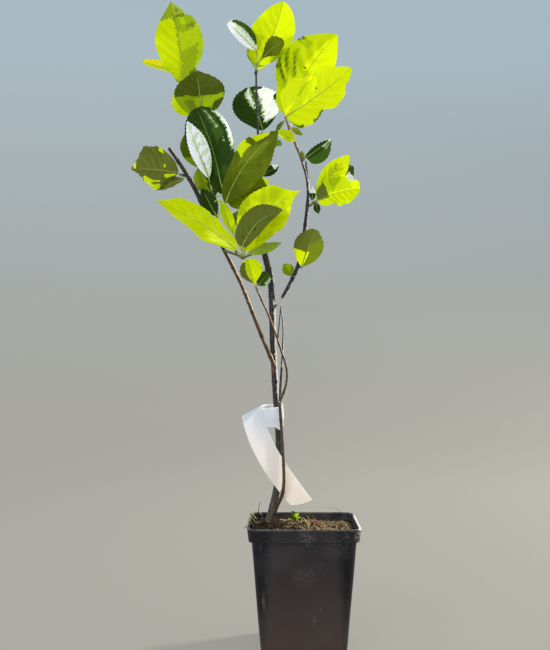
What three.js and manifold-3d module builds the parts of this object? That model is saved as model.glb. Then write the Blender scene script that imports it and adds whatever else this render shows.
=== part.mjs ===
// A young chokeberry in a square nursery pot, with a blank loop tag round its stem.
// Millimetres, +Z up, the viewer on the -Y side. The origin is the centre of the pot's flat underside.
import * as THREE from 'three';
import { mergeVertices } from 'three/addons/utils/BufferGeometryUtils.js';
import Module from 'manifold-3d';

// Driving dimensions
const clearance = 0.3;
const potHeight = 100;
const footHalf = 34.2;
const shoulderHalf = 41.6;
const rimHalf = 45;
const rimBand = 11;
const rimStep = 2.4;
const stepRise = 0.8;
const lipEase = 0.4;
const cornerShare = 0.19;
const potWall = 1.3;
const floorThickness = 2.5;
const drainRadius = 3.5;
const drainPlace = 19;
const soilLevel = 91.5;
const groundLevel = 96;
const seatRadius = 11;
const moundReach = 20;
const lumpHeight = 0.6;
const bladeThickness = 0.9;
const rippleShare = 0.03;
const rippleRate = 9;
const tipShare = 0.012;
const stalkHalf = 0.7;
const stalkSteps = 2;
const bladeSteps = 6;
const touchLimit = 4;
const tagWidth = 18.5;
const tagLength = 86;
const tagThickness = 0.8;
const tagHeight = 186.5;
const tagSweep = 6;
const tagHeading = -62;
const tagTop = [-42, 3, 190.5];
const tagSag = 3.4;

const wasm = await Module();
wasm.setup();

// A closed geometry as a solid, its shared corners merged
function toSolid(geometry) {
  const bare = new THREE.BufferGeometry();
  bare.setAttribute('position', geometry.getAttribute('position').clone());
  bare.setIndex(geometry.getIndex());
  const merged = mergeVertices(bare, 1e-4);
  const mesh = new wasm.Mesh({
    numProp: 3,
    vertProperties: new Float32Array(merged.getAttribute('position').array),
    triVerts: new Uint32Array(merged.getIndex().array),
  });
  return new wasm.Manifold(mesh);
}

function toGeometry(solid) {
  const mesh = solid.getMesh();
  const geometry = new THREE.BufferGeometry();
  geometry.setAttribute('position', new THREE.BufferAttribute(new Float32Array(mesh.vertProperties), 3));
  geometry.setIndex(new THREE.BufferAttribute(new Uint32Array(mesh.triVerts), 1));
  geometry.computeVertexNormals();
  return geometry;
}

// The main body of a solid, without loose scraps
function largest(solid) {
  return solid.decompose().sort((a, b) => b.volume() - a.volume())[0];
}

// Moves every corner of a geometry by a rule
function reshape(geometry, rule) {
  const place = geometry.getAttribute('position');
  for (let i = 0; i < place.count; i += 1) {
    const moved = rule(new THREE.Vector3().fromBufferAttribute(place, i));
    place.setXYZ(i, moved.x, moved.y, moved.z);
  }
  return geometry;
}

function seededRandom(seed) {
  let state = seed >>> 0;
  return () => {
    state = (state + 0x6d2b79f5) >>> 0;
    let mixed = state;
    mixed = Math.imul(mixed ^ (mixed >>> 15), mixed | 1);
    mixed ^= mixed + Math.imul(mixed ^ (mixed >>> 7), mixed | 61);
    return ((mixed ^ (mixed >>> 14)) >>> 0) / 4294967296;
  };
}

// A direction from its heading in the viewer's plane (0 right, 90 up) and its lean away from the viewer
function direction(heading, lean) {
  const turn = THREE.MathUtils.degToRad(heading);
  const away = THREE.MathUtils.degToRad(lean);
  return new THREE.Vector3(Math.cos(turn) * Math.cos(away), Math.sin(away), Math.sin(turn) * Math.cos(away));
}

// Limbs: guide points from foot to tip, each [x, y, z, diameter]
class Limb {
  constructor(guide, sides = 8, steps = 20) {
    this.sides = sides;
    this.steps = steps;
    this.curve = new THREE.CatmullRomCurve3(guide.map(([x, y, z]) => new THREE.Vector3(x, y, z)));
    this.diameters = guide.map((point) => point[3]);
  }

  pointAt(share) {
    return this.curve.getPointAt(share);
  }

  radiusAt(share) {
    const place = this.curve.getUtoTmapping(share) * (this.diameters.length - 1);
    const lower = Math.min(Math.floor(place), this.diameters.length - 2);
    return THREE.MathUtils.lerp(this.diameters[lower], this.diameters[lower + 1], place - lower) / 2;
  }

  // A cylinder bent along the curve, with the limb's taper, and thicker all round by grow
  solid(grow = 0) {
    const { steps } = this;
    const frames = this.curve.computeFrenetFrames(steps);
    const cylinder = new THREE.CylinderGeometry(1, 1, 1, this.sides, steps);
    return toSolid(reshape(cylinder, (corner) => {
      const step = Math.round((corner.y + 0.5) * steps);
      const share = step / steps;
      const radius = this.radiusAt(share) + grow;
      const place = this.pointAt(share);
      place.addScaledVector(frames.normals[step], corner.x * radius);
      place.addScaledVector(frames.binormals[step], -corner.z * radius);
      if (step === 0) place.addScaledVector(frames.tangents[0], -grow);
      if (step === steps) place.addScaledVector(frames.tangents[steps], grow);
      return place;
    }));
  }
}

// A leaf: a thin box drawn out along its stalk and midrib, folded to a shallow V and pointed at its tip
function leafSolid(leaf, root, random) {
  const [length, heading, lean] = leaf.blade;
  const axis = direction(heading, lean);
  const base = root.clone().addScaledVector(direction(leaf.stalk[1], leaf.stalk[2]), leaf.stalk[0]);
  const view = new THREE.Vector3(0, -0.94, 0.34);
  const face = view.addScaledVector(axis, -view.dot(axis)).normalize();
  face.applyAxisAngle(axis, THREE.MathUtils.degToRad(leaf.roll ?? 0));
  const side = new THREE.Vector3().crossVectors(face, axis);
  const fold = THREE.MathUtils.degToRad(leaf.fold ?? 12);
  const widest = Math.log(0.5) / Math.log(leaf.widest ?? 0.5);
  const phase = random() * Math.PI * 2;
  const midribAt = (step) => {
    if (step <= stalkSteps) return root.clone().lerp(base, Math.max(step, 0) / stalkSteps);
    const share = Math.min((step - stalkSteps) / bladeSteps, 1);
    const arch = Math.sin(Math.PI * share);
    const place = base.clone().addScaledVector(axis, length * share);
    return place.addScaledVector(side, (leaf.sweep ?? 0) * arch);
  };
  const steps = stalkSteps + bladeSteps;
  return toSolid(reshape(new THREE.BoxGeometry(2, 1, 1, 2, 1, steps), (corner) => {
    const step = Math.round((corner.z + 0.5) * steps);
    const place = midribAt(step);
    const along = midribAt(step + 1).sub(midribAt(step - 1)).normalize();
    const across = side.clone().addScaledVector(along, -side.dot(along)).normalize();
    const outward = new THREE.Vector3().crossVectors(along, across);
    if (step < stalkSteps) {
      place.addScaledVector(across, corner.x * stalkHalf);
      return place.addScaledVector(outward, corner.y * 2 * stalkHalf);
    }
    const share = THREE.MathUtils.clamp((step - stalkSteps) / bladeSteps, tipShare, 1 - tipShare);
    const swell = Math.sin(Math.PI * share ** widest) ** (leaf.blunt ?? 0.66);
    const half = leaf.width / 2 * swell;
    const wave = Math.sin(share * rippleRate + phase) * corner.x * corner.x;
    const rise = Math.abs(corner.x) * half * Math.sin(fold) + rippleShare * leaf.width * wave * swell;
    place.addScaledVector(across, corner.x * half * Math.cos(fold));
    return place.addScaledVector(outward, rise + corner.y * bladeThickness);
  }));
}

// Leaves grown from one stem and fused to it. A leaf that would touch a limb beside its stem is skipped.
function foliage(seed, stem, leaves, limbsBeside) {
  const random = seededRandom(seed);
  const beside = limbsBeside.map((limb) => limb.solid(clearance));
  let mass = stem.solid();
  for (const leaf of leaves) {
    const blade = leafSolid(leaf, stem.pointAt(leaf.at), random);
    const touches = beside.some((limb) => blade.intersect(limb).volume() > touchLimit);
    if (!touches) mass = mass.add(blade);
  }
  for (const limb of beside) mass = mass.subtract(limb);
  return largest(mass);
}

// The pot: rounded squares stacked up to a band round the rim, hollow, with four drain holes
const flatShare = 1 - cornerShare;

function roundedSquare() {
  const shape = new THREE.Shape();
  shape.absarc(flatShare, flatShare, cornerShare, 0, Math.PI / 2);
  shape.absarc(-flatShare, flatShare, cornerShare, Math.PI / 2, Math.PI);
  shape.absarc(-flatShare, -flatShare, cornerShare, Math.PI, Math.PI * 1.5);
  shape.absarc(flatShare, -flatShare, cornerShare, Math.PI * 1.5, Math.PI * 2);
  return shape;
}

function stackedSquares(profile) {
  const steps = profile.length - 1;
  const options = { depth: 1, steps, bevelEnabled: false, curveSegments: 4 };
  return toSolid(reshape(new THREE.ExtrudeGeometry(roundedSquare(), options), (corner) => {
    const [height, half] = profile[Math.round(corner.z * steps)];
    return new THREE.Vector3(corner.x * half, corner.y * half, height);
  }));
}

const bandFoot = potHeight - rimBand;
const innerProfile = [
  [floorThickness, footHalf - potWall + 0.2],
  [bandFoot + potWall, shoulderHalf - potWall],
  [bandFoot + potWall + stepRise, shoulderHalf + rimStep - potWall],
  [potHeight + 1, rimHalf - potWall],
];

function potSolid() {
  const outside = stackedSquares([
    [0, footHalf],
    [bandFoot, shoulderHalf],
    [bandFoot + stepRise, shoulderHalf + rimStep],
    [potHeight - 2 * lipEase, rimHalf],
    [potHeight, rimHalf - lipEase],
  ]);
  let pot = outside.subtract(stackedSquares(innerProfile));
  for (const x of [-drainPlace, drainPlace]) {
    for (const y of [-drainPlace, drainPlace]) {
      const hole = new THREE.CylinderGeometry(drainRadius, drainRadius, 12, 16);
      pot = pot.subtract(toSolid(hole.rotateX(Math.PI / 2).translate(x, y, 0)));
    }
  }
  return pot;
}

function innerHalf(height) {
  const upper = innerProfile.findIndex((level) => level[0] >= height);
  const [lowZ, lowHalf] = innerProfile[Math.max(upper - 1, 0)];
  const [highZ, highHalf] = innerProfile[Math.max(upper, 1)];
  return THREE.MathUtils.mapLinear(height, lowZ, highZ, lowHalf, highHalf);
}

// The compost: a filling with a lumpy top that rises to a flat seat under the trunk
function soilHeight(x, y, foot) {
  const away = Math.max(Math.hypot(x - foot.x, y - foot.y) - seatRadius, 0) / moundReach;
  const seat = Math.exp(-away * away);
  const lumps = Math.sin(x * 0.5) * Math.cos(y * 0.43) + Math.sin(y * 0.3 + 1);
  return THREE.MathUtils.lerp(soilLevel + lumpHeight * lumps, groundLevel - clearance, seat);
}

function soilSolid(trunk) {
  const foot = trunk.pointAt(0);
  const bottom = floorThickness + clearance;
  const ledge = bandFoot + potWall;
  const levels = [bottom, ledge - clearance, ledge + stepRise + clearance];
  const grid = new THREE.BoxGeometry(2, 2, 1, 12, 12, levels.length);
  return toSolid(reshape(grid, (corner) => {
    const level = Math.round((corner.z + 0.5) * levels.length);
    const half = (level < 2 ? innerHalf(levels[level]) : innerHalf(ledge + 1)) - 2 * clearance;
    const inner = new THREE.Vector2(corner.x, corner.y).clampScalar(-flatShare, flatShare);
    const outer = new THREE.Vector2(corner.x, corner.y).sub(inner);
    const reach = Math.max(Math.abs(outer.x), Math.abs(outer.y));
    if (reach > 0) outer.setLength(reach);
    const place = inner.add(outer).multiplyScalar(half);
    const height = levels[level] ?? soilHeight(place.x, place.y, foot);
    return new THREE.Vector3(place.x, place.y, height);
  }));
}

// The tag: a loop of strip round the trunk, its free end hanging down to the right
function tagSolid() {
  const loopPath = new THREE.CatmullRomCurve3([
    [-38, 6], [-31, 2.2], [-22, 1.2], [-16, 5], [-18, 13], [-30, 13],
  ].map(([x, y]) => new THREE.Vector3(x, y, 0)), true);
  const count = 28;
  const outline = { outer: [], inner: [] };
  for (let i = 0; i < count; i += 1) {
    const point = loopPath.getPointAt(i / count);
    const ahead = loopPath.getTangentAt(i / count);
    const across = new THREE.Vector2(-ahead.y, ahead.x).multiplyScalar(tagThickness / 2);
    outline.outer.push(new THREE.Vector2(point.x, point.y).sub(across));
    outline.inner.push(new THREE.Vector2(point.x, point.y).add(across));
  }
  const ring = new THREE.Shape(outline.outer);
  ring.holes.push(new THREE.Path(outline.inner));
  const band = new THREE.ExtrudeGeometry(ring, { depth: tagWidth, bevelEnabled: false });
  band.translate(21, 0, -tagWidth / 2).rotateY(THREE.MathUtils.degToRad(-5)).translate(-21, 0, tagHeight);

  const heading = direction(tagHeading, 0);
  const across = direction(tagHeading + 90, 0);
  const top = new THREE.Vector3(...tagTop);
  const tail = reshape(new THREE.BoxGeometry(1, 1, 1, 2, 1, 10), (corner) => {
    const share = corner.z + 0.5;
    const place = top.clone().addScaledVector(heading, share * tagLength);
    place.addScaledVector(across, corner.x * tagWidth - tagSweep * Math.sin(Math.PI * share ** 0.8));
    place.y += tagSag * Math.sin(Math.PI * 0.5 * share) - corner.y * tagThickness;
    return place;
  });
  return toSolid(band).add(toSolid(tail));
}

// The woody frame
const trunk = new Limb([
  [-27.4, 12, groundLevel - 1.5, 10], [-26.4, 12, 100.5, 7.6], [-24, 11.6, 112, 6.6], [-20.5, 10, 132, 5.9],
  [-19.7, 9, 165, 5.7], [-22.6, 7, 207, 5.3], [-24.8, 4, 249, 5.2], [-26.6, 2, 298, 5.1],
  [-33, 0, 328, 4.8], [-34.6, 0, 340, 2.4], [-37.3, 2, 371, 2.2], [-37.3, 4, 420, 2], [-38.7, 5, 460, 1.9],
], 10, 36);
const leftBough = new Limb([
  [-23.6, 5.2, 225, 3.6], [-28, 0.6, 237, 3.3], [-36.4, -2, 258, 3.2], [-50.8, -4, 294.6, 3.1],
  [-66.9, -6, 327, 3], [-80.3, -6, 355, 2.9], [-93.6, -7, 382, 2.8], [-111, -8, 408.3, 2.6],
]);
const leftSpur = new Limb([
  [-65.6, -6, 323.6, 1.9], [-59.4, -15, 320.2, 1.7], [-53.9, -20, 317.8, 1.8], [-51, -22, 316.3, 1.9],
], 8, 8);
const rightBough = new Limb([
  [-25, 3, 275.5, 3], [-19.7, 0, 280.7, 3], [-10.5, -2, 295.6, 3.4], [-3.1, -4, 313.8, 2.7],
  [2.3, -6, 347, 2.4], [4.4, -6, 377.8, 2.2], [-0.5, -5, 398, 2], [-9.6, -3, 421, 1.8],
]);
const basalShoot = new Limb([
  [-21.6, 10.6, 112.5, 2.9], [-18.6, 5.8, 116, 2.7], [-15.8, 1.2, 127, 2.5], [-15.8, -1.6, 142, 2.5],
  [-17.6, -4, 174.7, 2.4], [-19.3, -5, 197.6, 2.4],
], 8, 16);
const archingShoot = new Limb([
  [-18.9, -5.2, 198.3, 2.1], [-14, -8, 212, 1.8], [-13.4, -9, 224, 1.7], [-18.1, -11, 240.6, 1.7],
  [-27.1, -13, 266, 1.6], [-37.2, -15, 288.6, 1.6],
]);
const straightShoot = new Limb([
  [-19.2, -4.2, 198.6, 1.7], [-18.4, -1, 212, 1.5], [-16.6, 2.2, 240.8, 1.3], [-16.3, 2.6, 262, 1.2],
  [-18.4, 1.2, 277, 1.1],
], 6, 16);

// The trunk is cut flat at the ground, and each shoot stops just clear of the wood that bears it
const below = new THREE.BoxGeometry(2 * rimHalf, 2 * rimHalf, potHeight);
const belowGround = toSolid(below.translate(0, 0, groundLevel - potHeight / 2));

function limbSolid(limb, ...bearers) {
  let wood = limb.solid();
  for (const bearer of bearers) wood = wood.subtract(bearer.solid(clearance));
  return largest(wood);
}

const limbs = {
  trunk: trunk.solid().subtract(belowGround),
  left_bough: limbSolid(leftBough, trunk),
  left_spur: limbSolid(leftSpur, leftBough),
  right_bough: limbSolid(rightBough, trunk),
  basal_shoot: limbSolid(basalShoot, trunk),
  arching_shoot: limbSolid(archingShoot, basalShoot),
  straight_shoot: limbSolid(straightShoot, basalShoot, archingShoot, rightBough, trunk),
};

// Foliage: each stem with its leaves. A leaf has its place along the stem, its stalk and its blade as
// [length, heading, lean], and the blade's width. It may have a roll about its midrib, a fold, a sweep
// sideways, the share of its length where it is widest, and how blunt its ends are.
const foliageStem = (guide) => new Limb(guide, 6, 5);
const sideStem = (from, to) => foliageStem([[...from, 1.7], [...to, 1.5]]);

const foliageMasses = [
  {
    name: 'left_low_leaves',
    seed: 11,
    beside: [leftSpur, leftBough],
    stem: foliageStem([
      [-54.2, -20.4, 319.2, 1.9], [-57.5, -20.6, 327, 1.7], [-69.8, -15, 346.4, 1.6], [-75.6, -7.8, 373.5, 1.5],
    ]),
    leaves: [
      { at: 0.52, stalk: [4.7, 112, 12], blade: [27, 116, 4], width: 13, roll: 10 },
      { at: 0.55, stalk: [14, 26, -21], blade: [39, 40, -3], width: 24, roll: 10, fold: 14 },
      { at: 0.8, stalk: [17, -14, -54], blade: [72, 53, -8], width: 35, roll: 5, fold: 10, sweep: 5 },
      {
        at: 0.84, stalk: [10, 28, -26], blade: [76, 107, 2],
        width: 35, roll: -8, fold: 12, sweep: -3, widest: 0.58, blunt: 0.5,
      },
      { at: 0.92, stalk: [5, -80, 60], blade: [28, 131, 8], width: 17, roll: 15 },
      { at: 0.98, stalk: [15, 102, -56], blade: [50, 111, -2], width: 20, roll: -15, fold: 8 },
    ],
  },
  {
    name: 'left_middle_leaves',
    seed: 12,
    beside: [leftBough],
    stem: foliageStem([[-75.7, -7.2, 374.1, 1.5], [-79.7, -4, 395, 1.4], [-84.8, -1.1, 416.2, 1.3]]),
    leaves: [
      { at: 0.44, stalk: [8, 178, 39], blade: [33, 113, 5], width: 22, roll: 10 },
      { at: 0.67, stalk: [16, 89, 60], blade: [46, 99, 50], width: 30, fold: 14 },
    ],
  },
  {
    name: 'left_top_leaves',
    seed: 13,
    beside: [],
    stem: foliageStem([[-85, -1, 416.8, 1.3], [-91.9, 1, 438.3, 1.2], [-99.7, 2, 463, 1]]),
    leaves: [
      {
        at: 0.13, stalk: [11, 66, -18], blade: [41, 98, -6],
        width: 42, fold: 10, widest: 0.55, blunt: 0.55,
      },
      { at: 0.34, stalk: [6, 110, 27], blade: [29, 126, 11], width: 21, roll: -20 },
      { at: 0.8, stalk: [17, 105, 24], blade: [39, 156, 12], width: 12, roll: 25 },
      { at: 0.89, stalk: [12, 90, 58], blade: [45, 91, 46], width: 28, fold: 14 },
      { at: 0.97, stalk: [5, 110, 12], blade: [74, 99, 6], width: 41, fold: 14, sweep: -2.5 },
    ],
  },
  {
    name: 'left_outer_leaves',
    seed: 14,
    beside: [leftBough],
    stem: sideStem([-95.6, -7, 384.6], [-103, -2, 388]),
    leaves: [
      {
        at: 0.5, stalk: [5, 150, 20], blade: [39, 171, -10],
        width: 35, roll: 4, fold: 10, sweep: -2, widest: 0.55, blunt: 0.6,
      },
      { at: 0.35, stalk: [3, -100, -20], blade: [25, -157, -12], width: 14, roll: 25 },
    ],
  },
  {
    name: 'front_leaves',
    seed: 15,
    beside: [leftSpur],
    stem: foliageStem([[-50.7, -22.4, 316, 1.9], [-48.9, -24, 314.9, 1.8], [-46.5, -26, 315.6, 1.4]]),
    leaves: [
      { at: 0.1, stalk: [8, 120, -40], blade: [76, 149, -13], width: 31, roll: 32, fold: 10, sweep: -4 },
      { at: 0.3, stalk: [7, 97, -28], blade: [44, 113, -5], width: 14, roll: 20 },
      { at: 0.4, stalk: [6, 77, -38], blade: [67, 47, -11], width: 40, fold: 12, sweep: 8 },
      { at: 0.6, stalk: [12, 85, -50], blade: [45, 43, -20], width: 27, fold: 8, sweep: 9 },
      { at: 0.8, stalk: [4, 51, -27], blade: [29, 16, -12], width: 10, roll: 40 },
    ],
  },
  {
    name: 'shoot_tip_leaves',
    seed: 16,
    beside: [],
    stem: foliageStem([[-37.5, -15, 289.3, 1.5], [-38.6, -15.2, 291.6, 1.4], [-39.2, -15.4, 293.4, 1.2]]),
    leaves: [
      { at: 0.5, stalk: [3, 120, -41], blade: [22, 104, -19], width: 18, roll: 5 },
      { at: 0.4, stalk: [3, 60, 27], blade: [15, 52, 16], width: 11, roll: 15 },
    ],
  },
  {
    name: 'leader_tip_leaves',
    seed: 17,
    beside: [],
    stem: foliageStem([[-38.8, 5, 460.6, 1.9], [-38.9, 5, 470, 1.7], [-39.1, 5, 479, 1.4]]),
    leaves: [
      { at: 0.85, stalk: [19, 88, -14], blade: [35, 140, -16], width: 19, roll: -28, fold: 10 },
      { at: 0.95, stalk: [5, 75, 22], blade: [62, 69, 7], width: 36, fold: 12, sweep: -2.5 },
      { at: 0.85, stalk: [8, 65, -59], blade: [28, 36, -21], width: 19, fold: 8, sweep: 4 },
      { at: 0.8, stalk: [10, 80, 48], blade: [44, 75, 43], width: 28, fold: 12 },
      { at: 0.9, stalk: [4, 120, -20], blade: [14, 118, -30], width: 6, roll: 30 },
    ],
  },
  {
    name: 'leader_side_leaf',
    seed: 18,
    beside: [trunk],
    stem: sideStem([-37.3, 4, 417.8], [-34.6, 11, 424]),
    leaves: [
      { at: 1, stalk: [5, 73, 30], blade: [44, 105, 14], width: 41, fold: 12, widest: 0.54, blunt: 0.55 },
    ],
  },
  {
    name: 'leader_low_leaf',
    seed: 19,
    beside: [trunk],
    stem: sideStem([-37.6, 2.8, 383.6], [-35, 5, 386.5]),
    leaves: [
      { at: 1, stalk: [1.5, 40, 5], blade: [17, 33, 0], width: 8, roll: 20 },
    ],
  },
  {
    name: 'far_low_leaf',
    seed: 20,
    beside: [trunk],
    stem: sideStem([-36.6, 1.6, 362.3], [-35, 10, 364]),
    leaves: [
      { at: 1, stalk: [4, 17, 70], blade: [46, 40, 58], width: 28, fold: 14 },
    ],
  },
  {
    name: 'far_left_leaf',
    seed: 21,
    beside: [trunk],
    stem: sideStem([-35.4, 0.7, 347.9], [-39, 9, 349]),
    leaves: [
      { at: 1, stalk: [4, 167, 59], blade: [44, 148, 56], width: 27, fold: 14 },
    ],
  },
  {
    name: 'far_right_leaf',
    seed: 22,
    beside: [trunk],
    stem: sideStem([-37.3, 4, 409], [-36.6, 12, 410]),
    leaves: [
      { at: 1, stalk: [4, 60, 57], blade: [42, 60, 58], width: 26, fold: 14 },
    ],
  },
  {
    name: 'right_top_leaves',
    seed: 23,
    beside: [],
    stem: foliageStem([[-9.8, -3, 421.6, 1.8], [-11.4, -3, 426.5, 1.6], [-13.8, -3, 434, 1.4]]),
    leaves: [
      { at: 0.5, stalk: [14, 104, 28], blade: [83, 58, 6], width: 42, fold: 10, sweep: 5, blunt: 0.55 },
      {
        at: 1, stalk: [3, 90, -60], blade: [66, 35, -11],
        width: 46, fold: 8, sweep: -2, widest: 0.48, blunt: 0.6,
      },
      { at: 0.2, stalk: [8, -40, -27], blade: [17, 162, -22], width: 10, roll: 10 },
      { at: 0.25, stalk: [16, 72, 56], blade: [44, 62, 48], width: 28, fold: 14 },
      { at: 0.9, stalk: [4, -150, -50], blade: [13, -123, -18], width: 5, roll: 30 },
    ],
  },
  {
    name: 'right_small_leaf',
    seed: 24,
    beside: [rightBough],
    stem: sideStem([-0.2, -5, 397.2], [1.4, -5.4, 400.4]),
    leaves: [
      { at: 1, stalk: [1.5, 10, -5], blade: [27, 32, -9], width: 19, roll: 20, sweep: -1 },
    ],
  },
  {
    name: 'right_middle_leaves',
    seed: 25,
    beside: [rightBough],
    stem: sideStem([3.4, -6, 358.6], [10.6, -8.6, 363.6]),
    leaves: [
      { at: 1, stalk: [3, 45, 5], blade: [47, 56, 7], width: 24, roll: -8, sweep: 2 },
      {
        at: 1, stalk: [3, 20, -50], blade: [36, 14, -16],
        width: 30, roll: -5, fold: 14, sweep: 2, widest: 0.56, blunt: 0.55,
      },
      { at: 0.9, stalk: [4, 35, 40], blade: [45, 45, 18], width: 20, roll: 50 },
      { at: 0.8, stalk: [8, 35, 60], blade: [40, 38, 54], width: 26, fold: 14 },
      { at: 0.5, stalk: [3, 90, -20], blade: [13, 68, -9], width: 6, roll: 30 },
      { at: 0.6, stalk: [2, -60, 10], blade: [10, -67, -7], width: 6, roll: 20 },
    ],
  },
  {
    name: 'right_low_leaf',
    seed: 26,
    beside: [rightBough],
    stem: sideStem([-3.9, -3.8, 311.6], [-1.6, -7.4, 308.6]),
    leaves: [
      {
        at: 1, stalk: [1.5, 60, -30], blade: [32.5, 72, -12],
        width: 27, fold: 12, widest: 0.55, blunt: 0.6,
      },
    ],
  },
  {
    name: 'right_lowest_leaf',
    seed: 27,
    beside: [rightBough],
    stem: sideStem([-7.9, -2.6, 301.3], [-9.2, -6.2, 301.8]),
    leaves: [
      { at: 1, stalk: [1, 130, -20], blade: [12, 121, -8], width: 10 },
    ],
  },
];

const looks = {
  pot: { color: 0x2a2728, roughness: 0.5, metalness: 0 },
  soil: { color: 0x2e241c, roughness: 0.95, metalness: 0 },
  bark: { color: 0x45423e, roughness: 0.8, metalness: 0 },
  youngBark: { color: 0x5b4936, roughness: 0.7, metalness: 0 },
  leaf: { color: 0x8fb310, roughness: 0.45, metalness: 0 },
  tag: { color: 0xe8eaec, roughness: 0.5, metalness: 0 },
};

const plant = new THREE.Group();

function addPart(name, solid, look) {
  const mesh = new THREE.Mesh(toGeometry(solid), new THREE.MeshStandardMaterial(look));
  mesh.name = name;
  plant.add(mesh);
}

addPart('pot', potSolid(), looks.pot);
addPart('soil', soilSolid(trunk), looks.soil);
for (const [name, solid] of Object.entries(limbs)) {
  addPart(name, solid, name === 'trunk' ? looks.bark : looks.youngBark);
}
addPart('loop_tag', tagSolid(), looks.tag);
for (const mass of foliageMasses) {
  addPart(mass.name, foliage(mass.seed, mass.stem, mass.leaves, mass.beside), looks.leaf);
}

export default plant;
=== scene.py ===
# A young chokeberry in a square nursery pot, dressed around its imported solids
import math
import random

import bmesh
import bpy
from mathutils import Matrix, Quaternion, Vector, noise


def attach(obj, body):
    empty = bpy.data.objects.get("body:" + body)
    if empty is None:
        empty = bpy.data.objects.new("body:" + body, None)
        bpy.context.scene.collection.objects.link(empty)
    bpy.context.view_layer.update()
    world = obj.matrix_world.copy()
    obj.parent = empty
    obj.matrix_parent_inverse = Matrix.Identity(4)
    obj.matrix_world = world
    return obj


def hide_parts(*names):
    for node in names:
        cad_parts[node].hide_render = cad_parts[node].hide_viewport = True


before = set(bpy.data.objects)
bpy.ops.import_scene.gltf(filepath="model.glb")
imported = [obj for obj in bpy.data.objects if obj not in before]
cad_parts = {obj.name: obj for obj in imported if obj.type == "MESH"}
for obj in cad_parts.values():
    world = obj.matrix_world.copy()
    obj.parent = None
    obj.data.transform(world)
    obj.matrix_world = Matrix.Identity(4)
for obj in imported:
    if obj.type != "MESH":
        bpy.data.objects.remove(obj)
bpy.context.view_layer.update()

mm = 0.001
scene = bpy.context.scene
scene.view_settings.view_transform = "Standard"
noise.seed_set(5)  # or noise vectors would differ from run to run


def metres(point):
    return Vector(point[:3]) * mm


def fromHex(code):
    # the linear colour of an sRGB code
    shares = [int(code[i:i + 2], 16) / 255 for i in (1, 3, 5)]
    return tuple(c / 12.92 if c < 0.04045 else ((c + 0.055) / 1.055) ** 2.4 for c in shares) + (1,)


def squareTo(axis, way):
    # the unit vector nearest to a way at a right angle to an axis
    return (way - way.dot(axis) * axis).normalized()


def stop(place, thick):
    # a guide point from a place in metres
    return (*(place / mm), thick)


def ease(value, low, high):
    share = min(max((value - low) / (high - low), 0), 1)
    return share * share * (3 - 2 * share)


# Shader maths: a wire is a socket that takes part in sums
class Wire:
    def __init__(self, finish, socket):
        self.finish = finish
        self.socket = socket

    def maths(self, operation, *values, clamp=False):
        return self.finish.node("Math", dict(enumerate(values)), operation=operation, use_clamp=clamp)

    def __add__(self, other):
        return self.maths("ADD", self, other)

    def __sub__(self, other):
        return self.maths("SUBTRACT", self, other)

    def __rsub__(self, other):
        return self.maths("SUBTRACT", other, self)

    def __mul__(self, other):
        return self.maths("MULTIPLY", self, other)

    __radd__ = __add__

    def size(self):
        return self.maths("ABSOLUTE", self)

    def band(self, low, high):
        # 0 at low, 1 at high
        return self.maths("MULTIPLY", self - low, 1 / (high - low), clamp=True)


class Finish:
    def __init__(self, name, fixed):
        self.material = bpy.data.materials.new(name)
        self.material.use_nodes = True
        self.tree = self.material.node_tree
        self.skin = self.tree.nodes["Principled BSDF"]
        for socket, value in fixed.items():
            self.skin.inputs[socket].default_value = value

    def node(self, kind, sockets, give=0, **settings):
        made = self.tree.nodes.new("ShaderNode" + kind)
        for key, value in settings.items():
            setattr(made, key, value)
        for key, value in sockets.items():
            if isinstance(value, Wire):
                self.tree.links.new(value.socket, made.inputs[key])
            else:
                made.inputs[key].default_value = fromHex(value) if isinstance(value, str) else value
        return Wire(self, made.outputs[give])

    def place(self, stretch=(1, 1, 1)):
        # Object coordinates, stretched for grain
        return self.node("Mapping", {"Vector": self.node("TexCoord", {}, "Object"), "Scale": stretch})

    def axis(self, number):
        return self.node("SeparateXYZ", {0: self.place()}, number)

    def height(self):
        return self.axis(2)

    def near(self, point, radius):
        # 1 at a point in millimetres, 0 from the radius on
        apart = self.node("VectorMath", {0: self.place(), 1: metres(point)}, 1, operation="DISTANCE")
        return apart.band(radius * mm, 0)

    def noise(self, scale, detail=3, stretch=(1, 1, 1), roughness=0.55):
        return self.node("TexNoise", {"Vector": self.place(stretch), "Scale": scale, "Detail": detail,
                                      "Roughness": roughness})

    def cells(self, scale, stretch=(1, 1, 1), feature="F1"):
        return self.node("TexVoronoi", {"Vector": self.place(stretch), "Scale": scale}, feature=feature)

    def acrossAlong(self, name):
        # the two directions of a piece's own UV map
        spot = self.node("UVMap", {}, uv_map=name)
        return [self.node("SeparateXYZ", {0: spot}, number) for number in (0, 1)]

    def blend(self, share, first, second):
        return self.node("Mix", {0: share, 6: first, 7: second}, 2, data_type="RGBA")

    def feed(self, **wires):
        for name, wire in wires.items():
            self.tree.links.new(wire.socket, self.skin.inputs[name.replace("_", " ")])

    def relief(self, height, depth):
        self.feed(Normal=self.node("Bump", {"Height": height, "Distance": depth, "Strength": 1.0}))

    def letLightThrough(self, share, tint):
        # thin matter: part of the light comes out on the far side
        glow = self.node("BsdfTranslucent", {"Color": tint})
        mixed = self.node("MixShader", {0: share, 1: Wire(self, self.skin.outputs[0]), 2: glow})
        self.tree.links.new(mixed.socket, self.tree.nodes["Material Output"].inputs["Surface"])


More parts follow.
